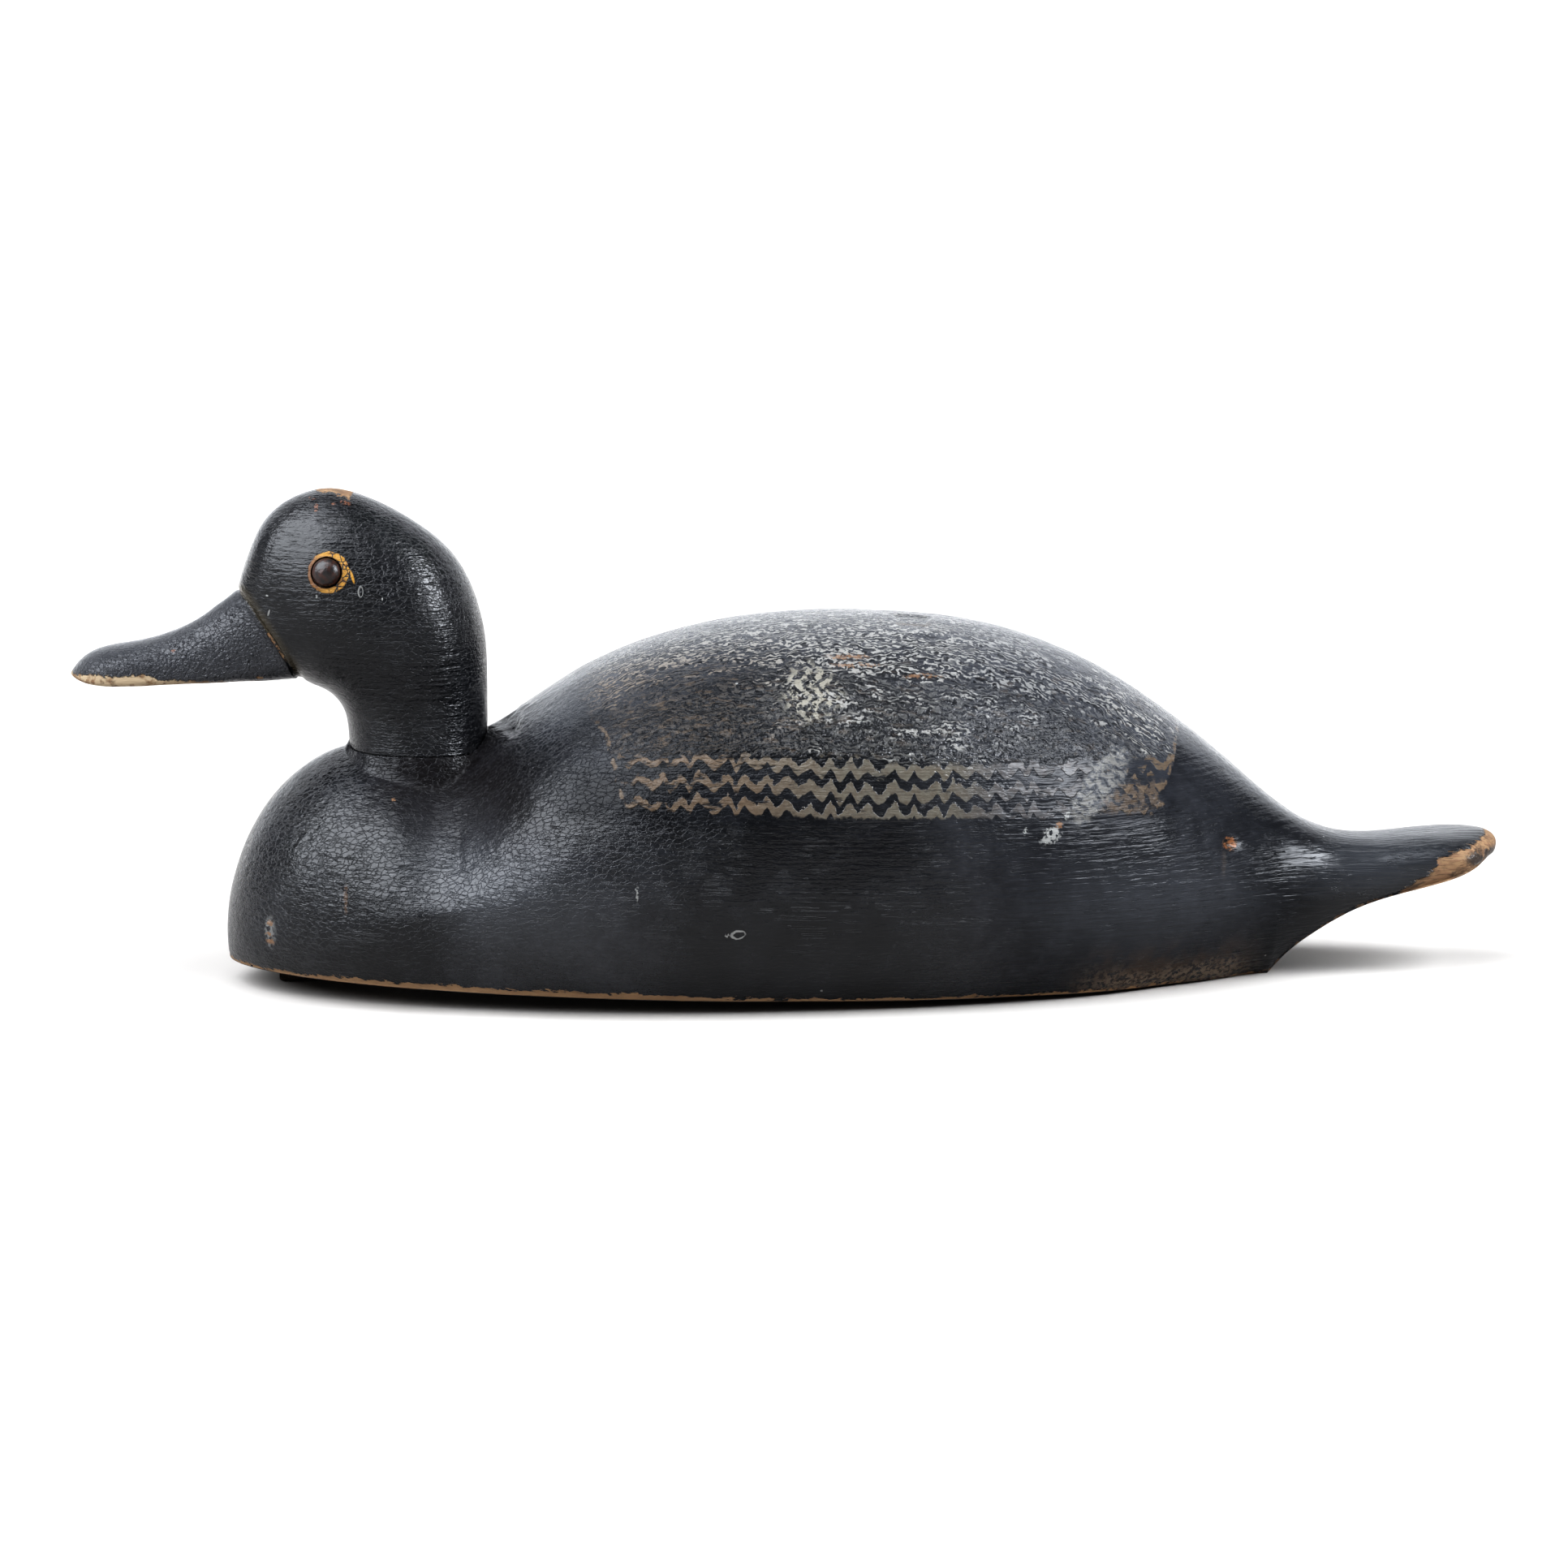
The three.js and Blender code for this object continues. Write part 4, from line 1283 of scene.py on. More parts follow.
@dataclass(frozen=True)
class HeadPaint:
    """Satin black over the head, with the painted ring round each eye and worn wood at the bill."""

    eye: Triple
    eye_axis: Triple
    ring: float = 5.5
    ring_offset: float = 0.55
    specular: float = 0.34
    rough: Pair = (0.17, 0.27)
    wood_rough: float = 0.7
    ring_rough: float = 0.45
    wood_depth: float = 0.2
    coat: Coat = Coat(
        stroke=0.6, net=1.3, lump=1.8, stroke_depth=0.22, net_depth=0.06, grain_depth=0.3, lump_depth=0.14
    )
    pale_bill: Zone = Zone(x=(-150.0, -166.0), z=(79.0, 77.0))
    bill_slope: float = 0.42
    bill_foot: float = 159.4
    red_marks: tuple[Mark, ...] = (
        Mark(-127.3, 123.6, 1.1, 0.35), Mark(-126.0, 121.8, 0.5, 0.9), Mark(-121.3, 122.7, 0.6, 0.3),
        Mark(-118.5, 122.9, 1.5, 0.5, -8), Mark(-163.5, 83.0, 0.6, 0.3),
    )
    pale_ring: tuple[Mark, Mark] = (
        Mark(-113.7, 101.3, 0.75, 1.5, 0, 0.1), Mark(-113.6, 101.2, 0.4, 1.1, 0, 0.1),
    )
    pale_specks: tuple[Mark, ...] = (
        Mark(-125.2, 99.7, 0.25, 0.45), Mark(-108.0, 99.5, 0.2, 0.45), Mark(-138.5, 98.9, 0.35, 0.25),
        Mark(-138.0, 94.4, 0.25, 0.9, -15),
    )
    ochre_drip: Mark = Mark(-115.9, 105.0, 1.7, 0.35, -72)
    throat_knock: Mark = Mark(-140.6, 76.4, 0.9, 0.5)

    def build(self) -> Material:
        """Makes the finish.

        Returns:
            The material.
        """
        g = Graph("head_paint")
        netted = g.mask(g.x, -145.0, -100.0)
        tone, height = self.coat.build(g, netted, g.span(g.mask(g.x, -150.0, -130.0), 0.3, 1.0))
        colour = g.mix(tone, Tone.BLACK, Tone.WORN_BLACK)
        seam = g.value("bill_line")
        on_bill = g.mask(seam, 0.2, -1.5)
        colour = g.mix(g.times(on_bill, g.span(g.noise(g.own, 3.0, 3.0), 0.6, 1.1)), colour, Tone.BILL_BLACK)
        height = g.plus(height, g.times(on_bill, self.bill_crust(g)))
        stain = g.times(g.within(seam, (-0.2, 0.2, 0.8, 3.4)), g.span(g.noise(g.own, 4.0), 0.2, 1.1))
        colour = g.mix(stain, colour, Tone.OLIVE_STAIN)

        wood, wood_height = bare_wood(g)
        pale = g.times(g.zone(self.pale_bill), g.flecks(2.2, (0.35, 0.55), 3.0))
        wood = g.mix(pale, wood, Tone.PALE_WOOD)
        bare = self.bare(g, seam)
        colour = g.mix(bare, colour, wood)
        rough = g.blend(bare, g.span(g.noise(g.own, 12.0, 3.0, 0.6), *self.rough), self.wood_rough)
        height = g.blend(bare, height, g.plus(wood_height, -self.wood_depth))
        colour = self.small_marks(g, colour)
        colour, height, rough = self.eye_ring(g, colour, height, rough)
        below_top = g.plus(g.z, g.times(g.x, -self.bill_slope), -self.bill_foot)
        matt = g.times(on_bill, g.mask(below_top, -6.0, -1.0), 0.4)
        gloss = g.times(g.inverse(matt), self.specular)
        return g.surface(colour, rough, height, Specular_IOR_Level=gloss)

    def bill_crust(self, g: Graph) -> Socket:
        """The thick, pimpled and crackled paint on the bill.

        Args:
            g: The material's graph.

        Returns:
            Its height in millimetres.
        """
        pimples = g.times(g.mask(g.cells(g.own, 1.7), 0.32, 0.12), g.flecks(3.5, (0.47, 0.56)))
        crackle = g.mask(g.edges(g.shaken(1.0, 0.8), 1.4), 0.0, 0.08)
        return g.plus(g.times(pimples, 0.26), g.times(crackle, 0.1), g.times(g.noise(g.own, 0.8), 0.34))

    def bare(self, g: Graph, seam: Source) -> Socket:
        """Where the head's paint is gone: crown, lower edge of the bill, and along the bill's line.

        Args:
            g: The material's graph.
            seam: Distance from the line between bill and face.

        Returns:
            1 on bare wood.
        """
        noise = g.noise(g.own, 1.4, 3.0, 0.7)
        nibble = g.plus(noise, -0.5)
        crown = g.mask(g.plus(g.value("crown"), g.times(nibble, 2.4)), -0.15, 0.2)
        rim = g.most(g.mask(g.plus(g.size(g.y), g.times(noise, 4.0)), 8.0, 10.0), g.mask(g.x, -184.0, -188.0))
        bill = g.times(g.mask(g.plus(g.value("bill_edge"), g.times(nibble, 3.0)), -0.2, 0.3), rim)
        line = g.times(g.mask(g.size(seam), 0.5, 0.25), g.within(g.z, (81.0, 82.5, 88.5, 90.0)))
        line = g.times(line, g.mask(noise, 0.45, 0.55))
        knock = g.times(g.left, g.spot(g.shaken(1.1, 1.2), self.throat_knock))
        return g.most(crown, bill, line, knock)

    def small_marks(self, g: Graph, colour: Source) -> Socket:
        """Adds the red knocks, the pale specks and the drip of ochre on the left side.

        Args:
            g: The material's graph.
            colour: The colour so far.

        Returns:
            The new colour.
        """
        red = g.times(g.left, g.spot(g.shaken(1.1, 1.2), *self.red_marks), g.flecks(0.9, (0.42, 0.6)), 0.8)
        colour = g.mix(red, colour, Tone.RED_WOOD)
        pale = g.most(g.times(g.ring(g.own, *self.pale_ring), 0.7), g.spot(g.own, *self.pale_specks))
        colour = g.mix(g.times(g.left, pale, 0.75), colour, Tone.CHALK)
        return g.mix(g.times(g.left, g.spot(g.own, self.ochre_drip)), colour, Tone.OCHRE)

    def eye_ring(self, g: Graph, colour: Source, height: Source, rough: Source) -> tuple[Source, ...]:
        """Paints the cracked ochre ring round each eye.

        Args:
            g: The material's graph.
            colour: The colour so far.
            height: The fine relief so far.
            rough: The roughness so far.

        Returns:
            The new colour, height and roughness.
        """
        near = g.vector("SUBTRACT", g.join(g.x, g.size(g.y), g.z), self.eye)
        off = g.node("VectorMath", {0: near, 1: self.eye_axis}, operation="DOT_PRODUCT").outputs["Value"]
        drop = g.node("VectorMath", {0: self.eye_axis, "Scale": off}, operation="SCALE").outputs[0]
        flat = g.vector("SUBTRACT", near, drop)
        aside, _, _ = g.split(flat)
        reach = g.length(g.vector("SUBTRACT", flat, (self.ring_offset, 0.0, 0.0)))
        reach = g.plus(reach, g.times(g.sway(g.own, 1.3), 0.9))
        ring = g.times(g.mask(reach, self.ring + 0.12, self.ring - 0.12), g.mask(g.length(near), 8.0, 7.0))
        rear = g.mask(g.plus(aside, g.times(g.noise(g.own, 2.0), 6.0)), 2.5, 4.5)
        cracked = g.times(g.mask(g.edges(g.own, 1.9), 0.07, 0.03), rear)
        browner = g.plus(g.flecks(1.1, (0.45, 0.75)), g.mask(aside, -1.0, -4.5))
        ochre = g.mix(browner, Tone.OCHRE, Tone.BROWN_OCHRE)
        ochre = g.mix(g.mask(g.length(flat), 4.7, 3.9), ochre, Tone.RING_SHADE)
        ochre = g.mix(cracked, ochre, Tone.BLACK)
        height = g.plus(height, g.times(ring, 0.15), g.times(ring, cracked, -0.15))
        return g.mix(ring, colour, ochre), height, g.blend(ring, rough, self.ring_rough)


@dataclass(frozen=True)
class BoardPaint:
    """The board's worn black paint over brown wood."""

    def build(self) -> Material:
        """Makes the finish.

        Returns:
            The material.
        """
        g = Graph("board_wood")
        return g.surface(*worn_bottom(g))


@dataclass(frozen=True)
class TackLacquer:
    """The glossy dark brown of a lacquered tack head."""

    rough: float = 0.33
    specular: float = 0.4

    def build(self) -> Material:
        """Makes the finish.

        Returns:
            The material.
        """
        g = Graph("eye_tack")
        colour = g.mix(g.flecks(1.6, (0.4, 0.65)), Tone.TACK_BLACK, Tone.TACK_BROWN)
        height = g.plus(g.times(g.noise(g.own, 0.9), 0.12), g.times(g.noise(g.own, 0.35), 0.03))
        return g.surface(colour, self.rough, height, Specular_IOR_Level=self.specular)


@dataclass(frozen=True)
class OldLeather:
    """Hard dark leather with a cracked grain."""

    rough: float = 0.62
    crack: float = 1.2
    crack_depth: float = 0.2

    def build(self) -> Material:
        """Makes the finish.

        Returns:
            The material.
        """
        g = Graph("tie_leather")
        colour = g.mix(g.noise(g.own, 4.0, 3.0), Tone.LEATHER_BLACK, Tone.LEATHER_BROWN)
        height = g.times(g.mask(g.edges(g.own, self.crack), 0.0, 0.15), self.crack_depth)
        return g.surface(colour, self.rough, height)


@dataclass(frozen=True)
class StudioPaper:
    """The plain pale floor, whiter farther out, where less light reaches it."""

    near: float = 0.37
    far: float = 0.84
    warmth: Triple = (1.045, 1.0, 0.95)
    reach: Stretch = (300.0, 1300.0)
    glow: float = 0.75
    glow_reach: Stretch = (700.0, 2200.0)

    def build(self) -> Material:
        """Makes the finish.

        Returns:
            The material.
        """
        g = Graph("studio_paper")
        away = g.length(g.own)
        near, far = (tuple(level * part for part in self.warmth) for level in (self.near, self.far))
        colour = g.mix(g.mask(away, *self.reach), near, far)
        # Painted light: far out the floor glows, so that it stays white beyond the soft boxes' reach.
        glow = g.times(g.mask(away, *self.glow_reach), self.glow)
        more = {"Emission_Color": (1.0, 1.0, 1.0, 1.0), "Emission_Strength": glow}
        return g.surface(colour, 0.9, 0.0, Specular_IOR_Level=0.2, **more)


# The decoy.


@dataclass
class BodyBlock:
    """The body block, breast to tail, hollowed from below and let in for the board and the neck."""

    bow_x: float = -149.4
    beam_x: float = -16.0
    heel_x: float = 129.0
    tail_turn_x: float = 176.0
    tail_tip_x: float = 191.0
    half_beam: float = 69.0
    half_bottom: float = 57.0
    breast_lean: float = 0.5
    tail_corner: Pair = (3.0, 8.0)
    tuck: float = 1.8
    pinch: Triple = (-88.0, 3.0, 11.5)
    fan: Pair = (-90.0, 22.0)
    wall: float = 13.0
    inset: float = 7.0
    board: float = 6.3
    board_stern_x: float = 112.0
    gap: float = 0.3
    seat_z: float = 57.6
    neck: tuple[float, float, float, float] = (-98.85, 18.25, 21.5, 2.3)
    pedestal: tuple[float, float, float, float, float] = (1.03, 0.4, 0.38, 19.0, 0.62)
    blend: float = 2.6
    blend_end: float = 2.5
    ledge: float = 5.0
    bow_wall: float = 4.0
    roof_wall: float = 2.0
    hollow_x: Pair = (-112.0, 100.0)
    hollow_beam_z: float = 12.0
    hollow_crown: float = 1.4
    waves: Waves = ((0.22, 24.0, 1), (0.09, 9.0, 2), (0.05, 3.6, 3))
    chew: Pair = (0.5, 0.9)
    nape: tuple[float, float, float, float] = (-74.0, 6.0, 15.0, 0.45)
    table_x: Triple = (-70.0, 112.0, 2.0)
    saddle_foot_z: float = 50.0
    stations: tuple[int, int, int, int] = (145, 122, 44, 22)
    columns: tuple[int, int, int] = (88, 28, 14)
    saddle: Outline = (
        (-60.0, 110.0), (-58.8, 75.9), (-49.6, 67.9), (-47.0, 60.0), (-45.3, 53.5), (-43.2, 51.5),
        (-27.7, 50.7), (3.5, 50.2), (45.0, 49.8), (67.0, 49.0), (93.9, 47.7), (97.5, 50.4), (94.7, 52.1),
        (98.4, 55.0), (99.8, 58.2), (101.7, 63.4), (103.4, 66.9), (104.0, 110.0),
    )
    bare_tail: Outline = (
        (157.6, 20.0), (165.9, 26.0), (171.4, 29.6), (172.6, 32.8), (177.1, 34.8), (182.8, 36.2),
        (186.8, 37.4), (188.6, 40.0), (195.0, 40.0), (195.0, 15.0), (157.6, 15.0),
    )
    dents: tuple[Dent, ...] = (
        Dent((-87.5, 40.0), (-87.4, 33.0), 1.0, 0.7),
        Dent((-87.5, 40.0), (-87.4, 33.0), 1.2, 0.5, Side.RIGHT),
        Dent((115.0, 38.1), (116.2, 38.1), 1.3, 1.3),
        Dent((28.0, 93.6), (35.0, 93.4), 1.1, 0.6),
        Dent((-116.3, 26.0), (-116.2, 19.5), 0.8, 0.4),
        Dent((-136.6, 15.5), (-136.6, 8.0), 1.0, 0.35),
        Dent((-74.7, 64.2), (-73.5, 64.6), 1.4, 1.1),
        Dent((-40.9, 32.0), (-40.9, 28.4), 0.8, 0.2),
        Dent((-60.0, 35.0), (-58.0, 33.0), 1.2, 0.3, Side.RIGHT),
        Dent((70.0, 52.0), (73.0, 49.0), 1.1, 0.35, Side.RIGHT),
    )

    def __post_init__(self) -> None:
        """Lays down the body's lines."""
        self.ridge_line = FairLine([
            (-117, 57.4), (-98, 59), (-80, 62.8), (-70, 69), (-60, 75.6), (-35, 87), (-8, 93),
            (17, 94.5), (45, 92.8), (70, 86.1), (97, 71.8), (120, 54.3), (137, 41.2), (150, 36.6),
            (168, 37.3), (191, 38.7),
        ])
        self.half_beam_line = FairLine([
            (-16, 69), (10, 68.4), (35, 65.8), (60, 60.2), (85, 50), (105, 38.5), (120, 29),
            (132, 22.6), (145, 19.2), (160, 18.2), (176, 18),
        ])
        self.beam_height_line = FairLine([
            (-149.4, 8), (-120, 15), (-80, 24), (-20, 30), (40, 30), (100, 25), (129, 21), (145, 23.5),
            (160, 26.5), (176, 30.5), (191, 34),
        ])
        self.half_bottom_line = FairLine([
            (-16, 57), (9, 55.3), (35, 52.1), (60, 46), (87, 36), (101, 27.3), (115, 18.8),
            (129, 10.5), (140, 12.6), (150, 15.2), (163, 17), (176, 17.2),
        ])
        self.underside_line = FairLine([
            (129, 0), (135, 6.6), (142, 12.5), (150, 17.8), (160, 22.1), (170, 25), (180, 28.2),
            (190.6, 32.6),
        ])
        self.crown_line = FairLine([
            (-149.4, 1.93), (-125, 1.86), (-107, 1.66), (-90, 1.32), (-76, 1.6), (-58, 2), (-30, 2.15),
            (60, 2.1), (120, 2), (145, 2.3), (165, 2.8), (191, 2.8),
        ])

    def underside(self, x: Array) -> Array:
        """Height of the underside: flat to the heel, then rising under the tail."""
        return np.where(x < self.heel_x, 0.0, self.underside_line(x))

    def ridge_x(self, x: Array) -> Array:
        """Where a section's ridge stands; the ridges bunch up as the sections fan round the bow."""
        start, reach = self.fan
        return np.where(x >= start, x, start - reach * (1 - np.exp(np.minimum(x - start, 0) / reach)))

    def cuts(self) -> dict[str, Array]:
        """The sections of the body, evenly spaced from the stem to the tip of the tail.

        Returns:
            For each section, its ridge, widest point and bottom corner as arrays.
        """
        bow, side, tail, tip = self.stations
        turns = np.linspace(0, QUARTER, 500)
        length = self.beam_x - self.bow_x
        turn = evenly(np.c_[length * np.cos(turns), self.half_beam * np.sin(turns)], turns, bow + 1)[:-1]
        across = np.sin(turn)
        bow_x = self.beam_x - length * np.cos(turn)
        bottom_x = self.beam_x - (length - self.breast_lean) * np.cos(turn)
        straight = np.concatenate([
            np.linspace(self.beam_x, self.heel_x, side, endpoint=False),
            np.linspace(self.heel_x, self.tail_turn_x, tail, endpoint=False),
        ])
        span = self.tail_tip_x - self.tail_turn_x
        half = float(self.half_beam_line(self.tail_turn_x))
        end = evenly(np.c_[span * np.sin(turns), half * np.cos(turns)], turns, tip)
        end_across = np.cos(end)
        end_across[-1] = 0
        under, over = self.tail_corner
        parts = {
            "ridge_x": (self.ridge_x(bow_x), straight, self.tail_turn_x + over * np.sin(end)),
            "beam_x": (bow_x, straight, self.tail_turn_x + span * np.sin(end)),
            "half_beam": (self.half_beam * across, self.half_beam_line(straight), half * end_across),
            "bottom_x": (bottom_x, straight, self.tail_turn_x + (span - under) * np.sin(end)),
            "half_bottom": (
                self.half_bottom * across,
                self.half_bottom_line(straight),
                float(self.half_bottom_line(self.tail_turn_x)) * end_across,
            ),
        }
        cut = {name: np.concatenate(values)[:, None] for name, values in parts.items()}
        at, depth, spread = self.pinch
        squeeze = depth * np.exp(-((cut["beam_x"] - at) / spread) ** 2)
        cut["half_beam"] = np.maximum(cut["half_beam"] - squeeze, 0)
        cut["ridge_z"] = self.ridge_line(cut["ridge_x"])
        cut["beam_z"] = self.beam_height_line(cut["beam_x"])
        cut["bottom_z"] = self.underside(cut["bottom_x"])
        cut["crown"] = self.crown_line(cut["beam_x"])
        return cut

    def skin(self, cut: dict[str, Array], u: Array) -> Array:
        """Points on the sections.

        Args:
            cut: The sections.
            u: For each section its places, 0..1 from ridge to beam and 1..2 down to the bottom.

        Returns:
            The points of one side, as section, place, and x, y, z.
        """
        turn = QUARTER * np.minimum(u, 1)
        power = 2 / cut["crown"]
        out = np.sin(turn) ** power
        up = np.maximum(np.cos(turn), 0) ** power
        down = np.clip(u - 1, 0, 1)
        tuck = down**self.tuck
        upper = (
            lerp(cut["ridge_x"], cut["beam_x"], out),
            cut["half_beam"] * out,
            lerp(cut["beam_z"], cut["ridge_z"], up),
        )
        lower = (
            lerp(cut["beam_x"], cut["bottom_x"], tuck),
            lerp(cut["half_beam"], cut["half_bottom"], tuck),
            lerp(cut["beam_z"], cut["bottom_z"], down),
        )
        return np.stack([np.where(u > 1, below, above) for above, below in zip(upper, lower)], axis=-1)

    def raise_pedestal(self, points: Array) -> Array:
        """Raises the flared pedestal that the neck stands on out of the surface.

        Args:
            points: Points of the surface.

        Returns:
            The same points, raised near the neck.
        """
        middle, long, wide, roundness = self.neck
        lip, rise, flare, drop, curve = self.pedestal
        x, y, z = np.moveaxis(points, -1, 0)
        reach = np.abs((x - middle) / long) ** roundness + np.abs(y / wide) ** roundness
        outward = np.maximum(reach ** (1 / roundness) - lip, 0) / flare
        height = self.seat_z + rise - drop * outward**curve
        raised = 0.5 * (z + height + np.sqrt((z - height) ** 2 + self.blend**2)) - 0.3 * self.blend
        raised = np.where(outward > self.blend_end, z, np.maximum(z, raised))
        return np.stack([x, y, raised], axis=-1)

    def rings(self) -> Array:
        """Lays out the whole surface, both sides and the bottom.

        Returns:
            Closed rings of points in the level frame.
        """
        cut = self.cuts()
        crown, lower, bottom = self.columns
        fine = np.linspace(0, 1, 400)
        count = len(cut["beam_x"])
        over = self.skin(cut, np.tile(fine, (count, 1)))
        under = self.skin(cut, np.tile(1 + fine, (count, 1)))
        u = np.array([
            np.concatenate([evenly(over[i], fine, crown + 1), 1 + evenly(under[i], fine, lower + 1)[1:]])
            for i in range(count)
        ])
        half = self.skin(cut, u)
        half = np.where((u <= 1)[..., None], self.raise_pedestal(half), half)
        far = half[:, ::-1]
        near = half[:, 1:] * (1, -1, 1)
        share = np.linspace(0, 1, bottom + 2)[1:-1][None, :, None]
        closing = lerp(near[:, -1:], far[:, :1], share)
        return np.concatenate([far, near, closing], axis=1)

    def relief(self, points: Array) -> Array:
        """How far the carved and worn surface stands off the fair one.

        Args:
            points: Points of the fair surface.

        Returns:
            The height at each point, in millimetres.
        """
        x, y, z = np.moveaxis(points, -1, 0)
        lift = waviness(points, self.waves)
        for dent in self.dents:
            lift -= dent.depth_at(points)
        rise = z - self.underside(x)
        chewed = 0.55 + 0.45 * soft_noise(points * (0.5, 1, 1), 4.0, 4)
        depth, height = self.chew
        lift -= depth * chewed * np.exp(-(np.maximum(rise, 0) / height) ** 2) * (np.abs(y) > 1)
        middle, long, wide, rough = self.nape
        nape = np.exp(-(((x - middle) / long) ** 2 + (y / wide) ** 2)) * (z > 55)
        lift += rough * nape * soft_noise(points, 2.6, 5)
        frayed = ease(outline_distance(points[..., [0, 2]], self.bare_tail), -1.0, 2.0)
        lift -= frayed * (0.25 + 0.2 * soft_noise(points * (0.4, 1, 1), 2.5, 6))
        return lift * ease(rise, -0.1, 0.3)

    def plan(self, margin: float, stern_x: float, steps: int = 60) -> Array:
        """The bottom's outline drawn in by a margin, ended square at the stern.

        Args:
            margin: How far it is drawn in, in millimetres.
            stern_x: Where it ends.
            steps: How many points lie along a quarter of it.

        Returns:
            Its points, as x and y.
        """
        turn = np.linspace(0, QUARTER, steps)
        length = self.beam_x - self.bow_x - self.breast_lean - margin
        bow = np.c_[self.beam_x - length * np.cos(turn), (self.half_bottom - margin) * np.sin(turn)]
        x = np.linspace(self.beam_x, stern_x, steps)[1:]
        near = np.concatenate([bow, np.c_[x, self.half_bottom_line(x) - margin]])
        return np.concatenate([near, near[:0:-1] * (1, -1)])

    def hollow(self) -> Object:
        """The space inside: the body's own form drawn in by the wall.

        Returns:
            A solid to cut away.
        """
        rim = self.inset + self.ledge
        front, end = self.hollow_x
        length = self.beam_x - self.bow_x - self.wall - self.bow_wall
        turn = np.linspace(0, QUARTER, 25)[:-1]
        x = np.concatenate([self.beam_x - length * np.cos(turn), np.linspace(self.beam_x, end, 26)])
        forward = x < self.beam_x
        across = np.concatenate([np.sin(turn), np.ones(26)])
        bow_beam, bow_bottom = across * (self.half_beam - self.wall), across * (self.half_bottom - rim)
        ridge = np.maximum(x, front)
        cut = {
            "ridge_x": ridge,
            "beam_x": x,
            "bottom_x": x,
            "half_beam": np.where(forward, bow_beam, self.half_beam_line(x) - self.wall),
            "half_bottom": np.where(forward, bow_bottom, self.half_bottom_line(x) - rim),
            "ridge_z": self.ridge_line(ridge) - self.wall - self.roof_wall,
            "beam_z": np.maximum(self.beam_height_line(x), self.hollow_beam_z),
            "bottom_z": np.full(len(x), -2.0),
            "crown": np.maximum(self.crown_line(x), self.hollow_crown),
        }
        cut = {name: np.append(values, values[-1])[:, None] for name, values in cut.items()}
        cut["half_beam"][-1] = 0
        cut["half_bottom"][-1] = 0
        u = np.tile(np.concatenate([np.linspace(0, 1, 13), [1.5, 2.0]]), (len(cut["beam_x"]), 1))
        half = self.skin(cut, u)
        rings = np.concatenate([half[:, ::-1], half[:, 1:] * (1, -1, 1)], axis=1)
        return shown("hollow_cut", grid_mesh("hollow_cut", STANCE.placed(rings)))

    def neck_plan(self, clearance: float) -> Array:
        """The outline of the neck's seat.

        Args:
            clearance: How much larger it is all round, in millimetres.

        Returns:
            Its points, as x and y.
        """
        middle, long, wide, roundness = self.neck
        turn = np.linspace(0, 2 * math.pi, 120, endpoint=False)
        cos, sin = np.cos(turn), np.sin(turn)
        power = 2 / roundness
        x = middle + (long + clearance) * np.sign(cos) * np.abs(cos) ** power
        y = (wide + clearance) * np.sign(sin) * np.abs(sin) ** power
        return np.c_[x, y]

    def values(self, mesh: Mesh) -> None:
        """Stores what the finish needs to know about each vertex.

        Args:
            mesh: The body's mesh.
        """
        points = vertex_points(mesh)
        x, _, z = points.T
        flat = points[:, [0, 2]]
        set_values(mesh, "saddle", outline_distance(flat, self.saddle))
        set_values(mesh, "tail_end", outline_distance(flat, self.bare_tail))
        set_values(mesh, "rise", z - self.underside(x))
        climb, fall = self.climb_and_fall(points)
        set_values(mesh, "climb", climb)
        set_values(mesh, "fall", fall)

    def climb_and_fall(self, points: Array) -> tuple[Array, Array]:
        """Measures along the surface, by a table of the sections under the saddle.

        Args:
            points: Points of the surface, one row each.

        Returns:
            How far each lies above the saddle's lower edge, and how far below the ridge.
        """
        x, y, z = points.T
        places = np.arange(*self.table_x)
        fine = np.linspace(0, 1, 200)
        crown = self.crown_line(places)[:, None]
        ahead = (self.beam_x - places) / (self.beam_x - self.bow_x)
        bow = self.half_beam * np.sqrt(np.clip(1 - ahead**2, 0, 1))
        half = np.where(places < self.beam_x, bow, self.half_beam_line(places))[:, None]
        low = self.beam_height_line(places)[:, None]
        high = self.ridge_line(places)[:, None]
        turn = QUARTER * fine[None, :]
        across = half * np.sin(turn) ** (2 / crown)
        up = lerp(low, high, np.maximum(np.cos(turn), 0) ** (2 / crown))
        steps = np.hypot(np.diff(across, axis=1), np.diff(up, axis=1))
        length = np.concatenate([np.zeros((len(places), 1)), np.cumsum(steps, axis=1)], axis=1)
        edge = np.array([np.interp(-self.saddle_foot_z, -z, at) for z, at in zip(up, length)])
        table = edge[:, None] - length
        at = np.clip((x - places[0]) / self.table_x[2], 0, len(places) - 1.001)
        i = at.astype(int)
        share = at - i
        n = lerp(crown[i, 0], crown[i + 1, 0], share)
        wide = lerp(half[i, 0], half[i + 1, 0], share)
        tall = lerp((high - low)[i, 0], (high - low)[i + 1, 0], share)
        base = lerp(low[i, 0], low[i + 1, 0], share)
        out = np.clip(np.abs(y) / wide, 0, 2) ** (n / 2)
        rise = np.clip((z - base) / tall, 0, 2) ** (n / 2)
        u = np.clip(np.arctan2(out, rise) / QUARTER, 0, 1) * (len(fine) - 1.001)
        j = u.astype(int)
        part = u - j
        here = lerp(table[i, j], table[i, j + 1], part)
        after = lerp(table[i + 1, j], table[i + 1, j + 1], part)
        climb = lerp(here, after, share)
        return climb, lerp(edge[i], edge[i + 1], share) - climb

